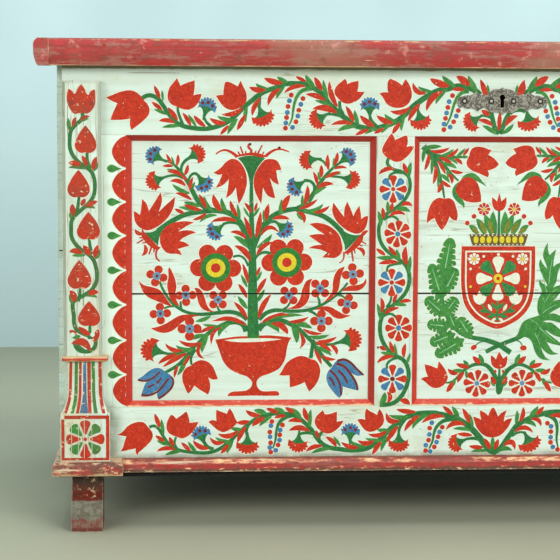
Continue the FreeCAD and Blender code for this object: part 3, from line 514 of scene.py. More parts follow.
def kicked(tree, base, broad, fine):
    """The front base moulding: a red line, a band scraped to pale wood, red, and a dark brown band along its
    foot, which is painted shade.
    """
    top, foot = high("front_base_moulding")[2], low("front_base_moulding")[2]
    patch = tree.noise(tree.stretched((5, 5, 20), (1, 0, 2)), 3.0, 5, 0.7)
    grit = tree.noise(tree.stretched((0.4, 1, 1.5), (2, 0, 1)), 170.0, 4, 0.7)
    base = tree.mix(tree.ramp(patch, 0.5, 0.58, 0, 0.5), base, tone(148, 84, 74))
    base = tree.mix(tree.ramp(grit, 0.53, 0.6, 0, 0.75), base, tone(112, 60, 46))
    base = tree.mix(tree.ramp(grit, 0.44, 0.38, 0, 0.7), base, tone(196, 62, 42))
    # Painted shade: a dark brown band along the moulding's foot, with pale chips of wear laid over it.
    darkening = ragged(tree, "Z", foot + 3.6, -1, grit, 2.0)
    base = tree.mix(tree.math("MULTIPLY", darkening, 0.85), base, tone(84, 62, 42))
    chips = tree.math("MULTIPLY", ragged(tree, "Z", foot + 6.0, -1, broad, 2.0), tree.ramp(grit, 0.42, 0.38))
    base = tree.mix(chips, base, tone(216, 186, 138))
    pale = tree.mix(tree.ramp(grit, 0.4, 0.52), tone(232, 200, 150), tone(214, 122, 92))
    scrape = tree.math("MULTIPLY", ragged(tree, "Z", top - 6.8, 1, grit, 2.6), tree.ramp(patch, 0.6, 0.44))
    scrape = tree.math("MULTIPLY", scrape, tree.ramp(grit, 0.57, 0.51))
    base = tree.mix(tree.math("MULTIPLY", scrape, 0.92), base, pale)
    line = tree.math("MULTIPLY", ragged(tree, "Z", top - 1.2, 1, grit, 0.8), 0.8)
    return tree.mix(line, base, tone(132, 62, 48))


def scraped(tree, base, broad, fine):
    """The other base mouldings: brown dirt, grey dust, and pale chips along the edges."""
    patch = tree.noise(tree.stretched((7, 7, 20), (2, 0, 1)), 3.0, 5, 0.7)
    grit = tree.noise(tree.stretched((0.7, 0.7, 1.4), (2, 0, 1)), 150.0, 5, 0.75)
    base = tree.mix(tree.ramp(patch, 0.46, 0.54, 0, 0.7), base, tone(118, 72, 60))
    base = tree.mix(tree.ramp(fine, 0.48, 0.58, 0, 0.8), base, tone(98, 68, 50))
    base = tree.mix(tree.ramp(grit, 0.54, 0.6, 0, 0.6), base, tone(84, 66, 48))
    base = tree.mix(tree.ramp(grit, 0.45, 0.41, 0, 0.9), base, tone(208, 176, 132))
    top = ragged(tree, "Z", high("front_base_moulding")[2] - 2.4, 1, grit, 2.6)
    top = tree.math("MULTIPLY", top, tree.ramp(patch, 0.54, 0.46))
    base = tree.mix(tree.math("MULTIPLY", top, 0.85), base, tone(226, 190, 146))
    foot = ragged(tree, "Z", low("front_base_moulding")[2] + 3.0, -1, grit, 2.4)
    foot = tree.math("MULTIPLY", foot, tree.ramp(patch, 0.42, 0.48))
    return tree.mix(tree.math("MULTIPLY", foot, 0.8), base, tone(176, 152, 104))


dress("front_base_moulding", worn_red("red_front_base_moulding", "x", 38.0, chips=0.6, tint=kicked))
for number, node in enumerate(("left_corner_moulding", "right_corner_moulding")):
    dress(node, worn_red("red_" + node, "x", 39.0 + number, chips=0.56, tint=scraped))
for number, node in enumerate(("left_side_base_moulding", "right_side_base_moulding")):
    dress(node, worn_red("red_" + node, "y", 42.0 + number, chips=0.585, tint=scraped))


def bevels(tree, base, broad, fine):
    """The sunk panels' bevels: faces looking down and faces looking left are painted a darker red, which is
    painted shade, and faces looking up a lighter red, which is painted light; on the upward faces, streaks,
    pale spots and a pale lower rim are wear.
    """
    # Painted shade on the faces looking down and painted light on the faces looking up.
    base = tree.mix(tree.ramp(tree.facing("Z"), -0.2, -0.5, 0, 0.8), base, tone(150, 34, 20))
    base = tree.mix(tree.ramp(tree.facing("Z"), 0.2, 0.5, 0, 0.7), base, tone(202, 60, 42))
    shelf = tree.ramp(tree.facing("Z"), 0.2, 0.5)
    streaks = tree.noise(tree.stretched((4, 30, 30), (1, 0, 3)), 3.0, 4, 0.6)
    base = tree.mix(tree.math("MULTIPLY", shelf, tree.ramp(streaks, 0.45, 0.6, 0, 0.5)), base,
                    tone(200, 86, 64))
    base = tree.mix(tree.math("MULTIPLY", shelf, tree.ramp(streaks, 0.44, 0.36, 0, 0.7)), base,
                    tone(168, 44, 34))
    grit = tree.noise(tree.stretched((0.4, 1, 1), (1, 0, 1)), 190.0, 4, 0.7)
    spots = tree.math("MULTIPLY", shelf, tree.ramp(grit, 0.57, 0.61))
    base = tree.mix(tree.math("MULTIPLY", spots, 0.8), base, tone(214, 150, 112))
    rim = tree.math("MULTIPLY", shelf, ragged(tree, "Z", OPENING_BOTTOM + 1.4, -1, grit, 1.4))
    base = tree.mix(tree.math("MULTIPLY", rim, 0.85), base, tone(220, 192, 150))
    # Painted shade on the faces that look left.
    return tree.mix(tree.ramp(tree.facing("X"), -0.2, -0.5, 0, 0.6), base, tone(158, 42, 26))


for number, node in enumerate(("left_panel_moulding", "centre_panel_moulding", "right_panel_moulding")):
    dress(node, painted("bevel_" + node, (200, 50, 30), (176, 40, 26), "x", 45.0 + number, chips=0.7,
                        edge=0, edge_tone=(224, 196, 170), dust=0.2, dust_tone=(186, 76, 54), tint=bevels))


def rubbed_bead(tree, base, broad, fine):
    """The bead's round is rubbed to cream above and below its red middle."""
    middle = (low("left_pilaster_bead")[2] + high("left_pilaster_bead")[2]) / 2
    off = tree.math("ABSOLUTE", tree.math("SUBTRACT", tree.axis("Z"), middle * MM))
    off = tree.math("ADD", off, tree.math("MULTIPLY", tree.math("SUBTRACT", fine, 0.5), 0.006))
    return tree.mix(tree.ramp(off, 0.0008, 0.0022, 0, 0.85), base, tone(216, 190, 136))


for number, node in enumerate(("left_pilaster_bead", "right_pilaster_bead")):
    dress(node, painted("bead_" + node, (190, 58, 40), (176, 66, 48), "x", 50.0 + number, chips=0.6,
                        edge=0.002, tint=rubbed_bead))
for number, node in enumerate(("left_plinth_block", "right_plinth_block")):
    dress(node, ground("ground_" + node, "z", 53.0 + number, tint=flanks, cracks=1.0))


def foot_bands_lit_and_shaded(tree, base, broad, fine):
    """The feet: dark red that darkens to brown towards the top under the moulding, which is painted shade; a
    scuffed grey band in the middle where the bulge faces up, which is painted light; faded red lower down,
    and darker red in the last few millimetres above the floor.
    """
    grit = tree.noise(tree.stretched((1, 1, 1), (5, 0, 2)), 150.0, 5, 0.7)
    # Painted light: the grey band on the forward bulge of the foot.
    grey = tree.mix(tree.ramp(grit, 0.36, 0.64), tone(88, 86, 72), tone(130, 126, 108))
    grey = tree.mix(tree.ramp(fine, 0.5, 0.62, 0, 0.7), grey, tone(96, 80, 62))
    # Painted shade: the red darkens to brown towards the top of the foot, under the moulding.
    upper = tree.mix(tree.ramp(tree.axis("Z"), 0.050, 0.066), tone(108, 30, 14), tone(60, 40, 12))
    upper = tree.mix(tree.ramp(fine, 0.48, 0.56, 0, 0.6), upper, tone(70, 44, 18))
    upper = tree.mix(tree.ramp(grit, 0.42, 0.36, 0, 0.9), upper, tone(176, 142, 104))
    base = tree.mix(ragged(tree, "Z", 41, 1, grit, 2.0), grey, upper)
    low_red = tree.mix(tree.ramp(grit, 0.42, 0.58), tone(118, 56, 42), tone(122, 98, 82))
    base = tree.mix(ragged(tree, "Z", 17, -1, fine, 6.0), base, low_red)
    base = tree.mix(ragged(tree, "Z", 5, -1, grit, 3.0), base, tone(100, 42, 30))
    return tree.mix(tree.ramp(grit, 0.36, 0.32), base, tone(206, 186, 158))


for number, node in enumerate(("front_left_foot", "front_right_foot", "back_left_foot", "back_right_foot")):
    dress(node, painted("foot_" + node, (120, 40, 30), (98, 36, 28), "z", 56.0 + number, chips=0.63,
                        edge=0.0022, edge_tone=(196, 180, 142), dust=0.3, dust_tone=(120, 90, 76),
                        tint=foot_bands_lit_and_shaded))
for node in ("hinge_pins", "left_hinge_back_strap", "right_hinge_back_strap", "left_hinge_lid_strap",
             "right_hinge_lid_strap", "lid_staple", "lock_bolt", "lock_case", "lock_key_post"):
    dress(node, iron("iron_" + node, (92, 88, 82), (48, 45, 42), (88, 60, 42)))
BASE_RED, LID_RED = (164, 56, 44), (170, 56, 46)
dress("lid_nails", nails("nails_lid", ((LID_RED, (("Y", LID_FRONT + 4, -1),)),)))
dress("carcass_nails", nails("nails_carcass", (
    (BASE_RED, (("Z", RAIL_FOOT + 12, -1), ("Z", RAIL_FOOT - 17, 1))),
    (GROUND, (("Z", PLINTH_TOP, 1), ("Z", OPENING_TOP + 30, -1), ("Y", FRAME_FACE - 12, -1))),
    ((146, 58, 44), (("Z", OPENING_TOP + 30, 1), ("Y", FRAME_FACE - 12, -1))))))
dress("lock_spring", iron("steel_lock_spring", (120, 118, 112), (78, 76, 72), (92, 70, 54), 0.4))
dress("escutcheon", engraved("iron_engraved"))


def plate_nails(name):
    """Small heads, pale in the middle, which is a painted highlight, within a dark ring, which is painted
    shade.
    """
    tree = Tree(name)
    grainy = tree.noise(tree.place, 400.0, 4, 0.6)
    colour = tree.mix(tree.ramp(grainy, 0.35, 0.65), tone(150, 147, 128), tone(196, 194, 178))
    # Painted highlight in the middle of each head and painted shade round it.
    return tree.finish(tree.mix(nail_ring(tree, 2.1, 1.5), tone(36, 33, 26), colour), 0.5, grainy, 0.3,
                       0.0004, 0.3)


dress("escutcheon_nails", plate_nails("nails_escutcheon"))


# Painted ornament: thin coats of paint that stand a few tenths of a millimetre on the wood

def coat(name, colour, dull, seed, wear):
    """One brushed colour of the ornament, worn through to the pale ground here and there, and
    duller and more worn on the half pilasters, which stand out from the front."""
    tree = Tree(name)
    brush = tree.noise(tree.stretched((60, 60, 60), (seed, 0, seed)), 3.0, 4, 0.6, 0.8)
    broad = tree.noise(tree.stretched((1, 1, 1), (seed, seed, seed)), 26.0, 3)
    base = tree.mix(tree.ramp(brush, 0.35, 0.7, 0, 0.75), tone(*colour), tone(*dull))
    base = tree.mix(tree.ramp(broad, 0.5, 0.75, 0, 0.35), base, tone(*dull))
    fine = tree.noise(tree.stretched((1, 1, 1), (seed, 2, 0)), 420.0, 4, 0.7)
    base = tree.mix(tree.ramp(fine, 0.5, 0.64, 0, 0.3), base, tone(*(min(v + 38, 248) for v in colour)))
    base = tree.mix(tree.ramp(fine, 0.47, 0.34, 0, 0.25), base, tone(*(v * 0.74 for v in dull)))
    ends = tree.ramp(tree.math("ABSOLUTE", tree.axis("X")), 0.5255, 0.5265)
    base = tree.mix(tree.math("MULTIPLY", ends, tree.ramp(broad, 0.35, 0.65, 0.05, 0.3)), base,
                    tone(110, 84, 62))
    flakes = tree.noise(tree.stretched((14, 14, 40), (0, seed, seed)), 4.0, 7, 0.72)
    flakes = tree.math("ADD", flakes, tree.math("MULTIPLY", ends, 0.045))
    specks = tree.noise(tree.stretched((1, 1, 1), (seed, 0, 3)), 150.0, 4, 0.7)
    specks = tree.math("ADD", specks, tree.math("MULTIPLY", ends, 0.04))
    loss = tree.math("MAXIMUM", tree.ramp(flakes, wear, wear + 0.02), tree.ramp(specks, wear, wear + 0.03))
    base = tree.mix(loss, base, tone(222, 196, 160))
    height = tree.math("SUBTRACT", brush, loss)
    tree.shader.inputs["Specular IOR Level"].default_value = 0.2
    return tree.finish(base, tree.ramp(brush, 0.2, 0.8, 0.4, 0.62), height, 0.25, 0.0004)


# Each kind of stroke: its paint, and how far it stands proud of the wood, in millimetres
COATS = {
    "halo": (coat("paint_cream_line", (226, 232, 212), (214, 216, 192), 1.0, 0.9), 0.10),
    "stem": (coat("paint_green", (44, 116, 56), (26, 90, 46), 2.0, 0.68), 0.17),
    "leaf": (coat("paint_light_green", (66, 136, 58), (38, 106, 50), 3.0, 0.68), 0.24),
    "red": (coat("paint_red", (194, 50, 22), (158, 38, 20), 4.0, 0.665), 0.32),
    "blue": (coat("paint_blue", (66, 124, 164), (52, 100, 138), 5.0, 0.67), 0.32),
    "yellow": (coat("paint_yellow", (216, 198, 40), (186, 172, 44), 6.0, 0.74), 0.40),
    "ring": (coat("paint_ring_green", (46, 122, 48), (32, 100, 44), 7.0, 0.7), 0.36),
    "dark": (coat("paint_dark_red", (118, 34, 24), (90, 30, 26), 8.0, 0.75), 0.46),
    "dot": (coat("paint_red_dot", (192, 46, 28), (164, 38, 26), 9.0, 0.75), 0.46),
    "cream": (coat("paint_cream", (222, 228, 206), (206, 210, 184), 10.0, 0.9), 0.40),
    "heart": (coat("paint_blue_heart", (104, 146, 172), (80, 122, 154), 11.0, 0.75), 0.40),
    "vein": (coat("paint_pale_vein", (150, 200, 150), (110, 165, 115), 12.0, 0.7), 0.29),
    "moss": (coat("paint_moss", (130, 130, 40), (100, 100, 40), 13.0, 0.72), 0.33),
    "over": (coat("paint_green_over_red", (52, 132, 66), (30, 100, 52), 15.0, 0.7), 0.42),
    "weave": (coat("paint_weave", (104, 84, 42), (84, 70, 40), 14.0, 0.75), 0.30),
}
# Each stroke of a kind stands a step above the one before it, by MOST in all. ROOT is how far it
# reaches into the wood. All are in millimetres.
STEP, MOST, ROOT = 0.0004, 0.035, 0.1


FINENESS = 2.4  # millimetres between the points of a curve, near enough


def curve_through(points, closed=True):
    """A smooth line through the points. A point with a third number is a corner."""
    count = len(points)
    spots = [Vector((p[0], p[1])) for p in points]
    corner = [len(p) > 2 for p in points]
    line = []
    for i in range(count if closed else count - 1):
        a, b = spots[i], spots[(i + 1) % count]
        chord = b - a
        length = max(chord.length, 1e-6)
        free_a = corner[i] or (not closed and i == 0)
        free_b = corner[(i + 1) % count] or (not closed and i == count - 2)
        before = (b - spots[i - 1]).normalized() * length
        after = (spots[(i + 2) % count] - a).normalized() * length
        if free_a and free_b:
            line.append(a)
            continue
        if free_a:
            before = chord * 1.5 - after * 0.5
        if free_b:
            after = chord * 1.5 - before * 0.5
        steps = max(2, min(8, round(length / FINENESS)))
        for k in range(steps):
            t = k / steps
            line.append(a * (2 * t ** 3 - 3 * t * t + 1) + before * (t ** 3 - 2 * t * t + t)
                        + b * (3 * t * t - 2 * t ** 3) + after * (t ** 3 - t * t))
    if not closed:
        line.append(spots[-1])
    return line


LONGEST_LOOP = 8  # sides of an outline


def untangled(ring):
    """The closed line without the small loops that its tight corners make when it is moved out."""
    i = 0
    while i < len(ring):
        count = len(ring)
        for span in range(2, min(LONGEST_LOOP, count - 2)):
            ends = [ring[(i + step) % count] for step in (0, 1, span, span + 1)]
            spot = intersect_line_line_2d(*ends)
            if spot is not None:
                gone = {(i + 1 + step) % count for step in range(1, span)}
                ring = [spot if k == (i + 1) % count else p for k, p in enumerate(ring) if k not in gone]
                i = -1
                break
        i += 1
    return ring


def grown(line, gap):
    """The closed line moved outwards by gap."""
    area = sum(a.x * b.y - b.x * a.y for a, b in zip(line, line[1:] + line[:1]))
    side = 1 if area > 0 else -1
    out = []
    for i, p in enumerate(line):
        a = (p - line[i - 1]).normalized()
        b = (line[(i + 1) % len(line)] - p).normalized()
        normal = Vector((a.y + b.y, -a.x - b.x)) * side
        normal = normal.normalized() if normal.length > 1e-6 else Vector((a.y, -a.x)) * side
        out.append(p + normal * gap)
    return untangled(out)


class Painting:
    """Ornament of one field. Shapes are given in millimetres from the field's own origin."""

    def __init__(self, x, z, face):
        self.x, self.z, self.face = x, z, face
        self.shapes = []

    def put(self, kind, line, lift=0.0, strip=False):
        """Adds an outline. lift raises it more, and strip marks the two sides of a stem."""
        if len(line) > 2:
            self.shapes.append((kind, line, lift, strip))

    def shape(self, kind, points, halo=None):
        """A smooth outline through the points. A third value in a point makes it a sharp corner."""
        line = curve_through(points)
        if halo is None:
            halo = 1.1 if kind in ("red", "blue") else 0.0
        if halo:
            self.put("halo", grown(line, halo))
        self.put(kind, line)

    def disc(self, kind, x, z, radius, halo=0.0, squeeze=1.0, turn=0.0):
        """A round or oval spot."""
        ring = []
        for k in range(20):
            a = 2 * pi * k / 20
            u, v = radius * cos(a), radius * squeeze * sin(a)
            t = radians(turn)
            ring.append(Vector((x + u * cos(t) - v * sin(t), z + u * sin(t) + v * cos(t))))
        if halo:
            self.put("halo", grown(ring, halo))
        self.put(kind, ring)

    def stem(self, points, start, end=None, kind="stem", halo=0.0):
        """A brushed line that tapers from one width to another."""
        end = start if end is None else end
        line = curve_through(points, closed=False)
        run = [0.0]
        for a, b in zip(line, line[1:]):
            run.append(run[-1] + (b - a).length)
        left, right = [], []
        for i, p in enumerate(line):
            along = (line[min(i + 1, len(line) - 1)] - line[max(i - 1, 0)]).normalized()
            half = (start + (end - start) * run[i] / run[-1]) / 2
            side = Vector((-along.y, along.x)) * half
            left.append(p + side)
            right.append(p - side)
        ring = left + right[::-1]
        if halo:
            self.put("halo", grown(ring, halo))
        self.put(kind, ring, strip=True)

    def leaf(self, kind, base, tip, width, bend=0.0):
        """One brush stroke with a pointed tip. It bends to the left where bend is above 0."""
        a, b = Vector(base), Vector(tip)
        chord = b - a
        side = Vector((-chord.y, chord.x))
        left, right = [], []
        steps, full = 8, 0.45
        for i in range(steps + 1):
            t = i / steps
            middle = a + chord * t + side * (4 * bend * t * (1 - t))
            slope = (chord + side * (4 * bend * (1 - 2 * t))).normalized()
            if t < full:
                swell = sin(pi / 2 * (0.18 + 0.82 * t / full))
            else:
                swell = cos(pi / 2 * (t - full) / (1 - full)) ** 0.75
            out = Vector((-slope.y, slope.x)) * (width / 2 * swell)
            left.append(middle + out)
            right.append(middle - out)
        ring = left + right[:-1][::-1]
        if kind == "red":
            self.put("halo", grown(ring, 0.9))
        self.put(kind, ring)

    def leaves(self, kind, rows):
        """Rows of base x, base z, tip x, tip z, width and, where the leaf bends, its bend."""
        for row in rows:
            self.leaf(kind, row[0:2], row[2:4], row[4], row[5] if len(row) > 5 else 0.0)

    def fan(self, x, z, turn, size, colour, spread=1.0):
        """A carnation or cornflower seen from the side: green calyx, toothed head."""
        t, stalk = radians(turn), 14.0
        u, v = Vector((cos(t), sin(t))), Vector((-sin(t), cos(t)))

        def at(along, across):
            p = Vector((x, z)) + (u * along + v * across * spread) * size
            return (p.x, p.y)

        head = [(*at(stalk - 5.5, 12.0), 1)]
        teeth = 8
        for k in range(teeth):
            for share, radius in ((0.0, 12.4), (0.3, 15.2), (0.7, 15.2)):
                a = ((k + share) / teeth - 0.5) * 2.6
                spot = at(stalk - 3.0 + radius * cos(a), radius * -sin(a) * 0.9)
                head.append((*spot, 1) if share == 0.0 and k else spot)
        head.append((*at(stalk - 5.5, -12.0), 1))
        head.append(at(stalk - 1.0, -5.0))
        head.append(at(stalk - 0.4, 0.0))
        head.append(at(stalk - 1.0, 5.0))
        self.shape(colour, head, 1.0)
        calyx = [at(-4.0, 1.2), at(0, 1.5), at(stalk * 0.35, 2.8), at(stalk * 0.68, 5.6),
                 (*at(stalk - 3.0, 9.2), 1), at(stalk, 4.4), at(stalk + 0.8, 0), at(stalk, -4.4),
                 (*at(stalk - 3.0, -9.2), 1), at(stalk * 0.68, -5.6), at(stalk * 0.35, -2.8), at(0, -1.5),
                 at(-4.0, -1.2)]
        self.put("stem", curve_through(calyx), 0.1)
        if colour == "blue":
            for a in (-0.8, 0.0, 0.8):
                p = at(stalk + 9.0 * cos(a) - 3.4, 9.4 * sin(a))
                self.disc("dark", p[0], p[1], 2.3 * size)

    def posy(self, x, z, turn, size):
        """A small round flower: four red discs round a blue heart."""
        for k in range(4):
            a = radians(turn + 90 * k)
            self.disc("red", x + 8.8 * size * cos(a), z + 8.8 * size * sin(a), 5.6 * size, halo=0.9)
        self.disc("heart", x, z, 5.4 * size)
        self.disc("dark", x, z, 2.0)

    def bloom(self, x, z, turn):
        """A large flower: six red petals, a wide green ring, a yellow disc and a red eye."""
        for k in range(6):
            a = radians(turn + 60 * k)
            self.disc("red", x + 22.6 * cos(a), z + 22.6 * sin(a), 11.6, halo=1.2)
        self.disc("ring", x, z, 20.0)
        self.disc("yellow", x, z, 13.0, squeeze=0.97)
        self.disc("dot", x, z, 6.4)

    def build(self, name, body="carcass", mirror=False, cuts=(), settle=None):
        """Makes the piece, which moves with the body. mirror lays it out on the right half of the front.
        cuts are (low, high) gaps in height that stay bare. settle gives the face's y at a spot, in
        millimetres."""
        mesh_data = bmesh.new()
        count = {}
        total = [kind for kind, *_ in self.shapes]
        kinds = [kind for kind in COATS if kind in total]
        for kind, line, lift, strip in self.shapes:
            material, height = COATS[kind]
            count[kind] = count.get(kind, 0) + 1
            height += lift + min(STEP, MOST / total.count(kind)) * count[kind]
            front, rear = [], []
            for p in line:
                x, z = self.x + p.x, self.z + p.y
                x = -x if mirror else x
                y = settle(x, z) if settle else self.face
                front.append(mesh_data.verts.new((x * MM, (y - height) * MM, z * MM)))
                rear.append(mesh_data.verts.new((x * MM, (y + ROOT) * MM, z * MM)))
            faces = [front, rear[::-1]]
            if strip:
                last = len(line) - 1
                pairs = [(k, k + 1, last - k - 1, last - k) for k in range(len(line) // 2 - 1)]
                faces = [[front[k] for k in pair] for pair in pairs]
                faces += [[rear[k] for k in reversed(pair)] for pair in pairs]
            for i in range(len(line)):
                j = (i + 1) % len(line)
                faces.append([front[j], front[i], rear[i], rear[j]])
            for corners in faces:
                face = mesh_data.faces.new(corners)
                face.material_index = kinds.index(kind)
        bmesh.ops.recalc_face_normals(mesh_data, faces=mesh_data.faces)
        bmesh.ops.triangulate(mesh_data, faces=[f for f in mesh_data.faces if len(f.verts) > 4])
        for bottom, top in cuts:
            for height in (bottom, top):
                parts = mesh_data.verts[:] + mesh_data.edges[:] + mesh_data.faces[:]
                bmesh.ops.bisect_plane(mesh_data, geom=parts, plane_co=(0, 0, height * MM),
                                       plane_no=(0, 0, 1))
            inside = [f for f in mesh_data.faces
                      if bottom * MM < f.calc_center_median().z < top * MM]
            bmesh.ops.delete(mesh_data, geom=inside, context="FACES")
        mesh = bpy.data.meshes.new(name)
        mesh_data.to_mesh(mesh)
        mesh_data.free()
        for kind in kinds:
            mesh.materials.append(COATS[kind][0])
        piece = bpy.data.objects.new(name, mesh)
        scene.collection.objects.link(piece)
        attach(piece, body)

    def build_pair(self, part, **more):
        """The piece on the left half of the front and its mirror image on the right half."""
        self.build("left_" + part, **more)
        self.build("right_" + part, mirror=True, **more)


# The field beside the end stile: a footed bowl with a flowering tree

def tree_stems(art):
    """The trunk, its branches and their green leaves."""
    art.stem([(169.5, 86.5), (169, 110), (168.6, 135), (168.2, 160), (168, 185), (167.6, 208),
              (167, 222)], 16, 9)
    art.stem([(167, 215), (166.8, 235), (166.4, 258), (166.2, 280), (166.2, 304)], 8, 4.2)
    art.stem([(166, 212), (159, 231), (151, 246), (142, 256), (130, 261), (114, 263), (103, 268)], 9, 6.5)
    art.stem([(168, 212), (174, 227), (181, 240), (190, 251), (202, 259), (214, 263), (230, 265)], 9, 6)
    art.stem([(112, 262), (98, 272), (90.5, 283), (84.5, 295), (78, 305), (71, 315), (62, 324),
              (49, 329.5)], 8, 2.6)
    art.stem([(116, 262), (96, 260), (79, 257), (62, 249), (50, 241), (42, 235)], 6, 7)
    art.stem([(228, 265), (240, 272), (249, 285), (257, 298), (267, 311), (277, 321), (286, 327)], 7.5, 3)
    art.stem([(226, 264), (244, 260.5), (260, 256), (272, 249), (282, 240), (288, 234)], 6, 7)
    art.stem([(160, 234), (149, 244.5), (138, 246.5), (128, 244)], 5, 3.4)
    art.stem([(180, 236), (186, 243), (193, 247.5), (201, 247)], 5, 3.4)
    art.stem([(76, 305), (68, 308.6), (58, 308.4), (50, 306)], 4, 3)
    art.stem([(73, 312), (73.6, 321), (78, 328), (84, 332)], 3.4, 4.4)
    art.stem([(82, 299), (84.5, 307), (90, 311.6), (97, 307.5)], 3, 4)
    art.stem([(265, 309), (276, 308), (287, 307)], 3.4, 3)
    art.stem([(266, 322), (262, 328), (254, 331.5)], 3, 3.4)
    art.stem([(250, 288), (250, 296), (245, 301.4), (236, 302.4)], 4, 4)
    art.stem([(160, 100), (156, 109), (148, 113), (138, 112.4), (126, 107.5), (112, 100), (101, 90),
              (90, 79.5), (77, 73.4), (62, 70.6), (52, 70.8)], 8, 3)
    art.stem([(161, 116), (152, 123), (139, 126.5), (122, 125.4), (103, 123.5), (87, 124.5), (74, 129),
              (62, 137.5), (54, 147.5), (48, 158), (44, 168)], 6, 3)
    art.stem([(177, 116), (186, 124.5), (198, 128.6), (214, 127.6), (230, 127.4), (246, 129.6), (259, 134.5),
              (271, 141.5), (281, 149), (289, 156.5), (296, 165.5)], 6, 2.8)
    art.stem([(176, 102), (183, 110), (196, 114.5), (209, 114), (220, 109.5), (230, 103.5), (239, 95.5),
              (247, 87.5), (256, 83.5), (270, 82), (284, 84)], 8.5, 3)
    art.stem([(248, 88), (254, 78.5), (262, 67), (275, 52)], 7, 4.6)
    art.stem([(90, 79), (80, 66.5), (69, 55.5), (57, 48), (51, 45)], 6, 4)
    art.stem([(72.5, 130), (72, 141)], 4, 2.6)
    art.stem([(127, 126), (122.5, 130), (121.5, 135)], 3.4, 2.6)
    art.stem([(65, 134.5), (57, 134), (50, 131.5)], 3, 2.6)
    art.stem([(258, 134.5), (258, 141), (255.6, 147)], 4, 2.6)
    art.stem([(283, 149.5), (290, 147), (294, 142)], 3, 2.4)
    art.stem([(244, 128), (251, 124.5), (257, 119.5)], 4, 3)
    art.stem([(206, 128.5), (214, 132.5), (219, 140)], 3.4, 2.6)
    art.stem([(92, 76), (86, 65), (87, 55)], 4, 3)
    art.stem([(250, 84), (248, 72), (247, 63.5)], 5, 5)
    art.stem([(171, 197), (176, 203.5), (184, 206.6), (194, 204)], 3, 4.6)
    art.stem([(162, 188), (158, 197), (151, 201.8), (142, 200.4)], 3, 3)
    art.leaves("leaf", (
        (84, 285, 61, 297.5, 6, 0.08), (98, 268, 76, 273.5, 6), (93, 261, 69.5, 266.5, 5, -0.05),
        (72, 313, 53.5, 317, 4.6), (64, 321, 60, 334, 3), (86, 289, 91, 300.5, 4),
        (116, 261, 103, 282, 5.4, 0.12), (120, 256, 97, 246, 5, -0.15), (134, 260, 126.5, 279.5, 6, 0.1),
        (151, 250, 147.5, 271, 4.4), (163, 254, 155.5, 267, 3.4), (169, 254, 177.5, 267, 3.6),
        (184, 246, 182.4, 263.5, 4.4), (203, 257, 206, 277.5, 8, -0.12), (275.5, 317, 276, 333.5, 3),
        (258, 302, 255, 314.5, 4), (248, 282, 267, 294, 6, 0.1), (236, 262, 262.5, 271.5, 6.4, -0.16),
        (234, 268, 234.5, 283.5, 4), (227, 259, 235.5, 249.5, 5), (272, 311, 286, 312.5, 4),
        (161, 213, 142.5, 228, 7, -0.1), (161, 160, 152.5, 177, 4.6), (161, 131, 148.5, 147.5, 6.4),
        (174, 213, 194, 231, 6.6, -0.08), (173.5, 168, 180.5, 181.5, 4.4), (174.5, 140, 184.5, 157, 5.6),
        (112, 121, 91.5, 114, 5.4, 0.06), (124, 107.5, 101.5, 110, 4.6, 0.05),
        (106, 95.5, 81, 88.5, 6, -0.05), (109, 98, 100.5, 71.5, 8, -0.08), (90, 77, 65.5, 82, 6.4, 0.16),
        (74, 71.5, 55.5, 59.5, 5), (78, 65, 67.5, 41, 6.4, 0.08), (138, 110, 123, 93, 7.4, -0.2),
        (186, 110, 204, 98.5, 8, 0.18), (190, 116, 237, 121.5, 5.4, 0.06),
        (220, 111.5, 249, 104, 7.4, 0.06), (244, 93.5, 272, 95.5, 5.6, -0.1),
        (221, 110, 227.5, 84, 9, 0.1), (254, 78, 275, 67, 6.6, 0.1)))


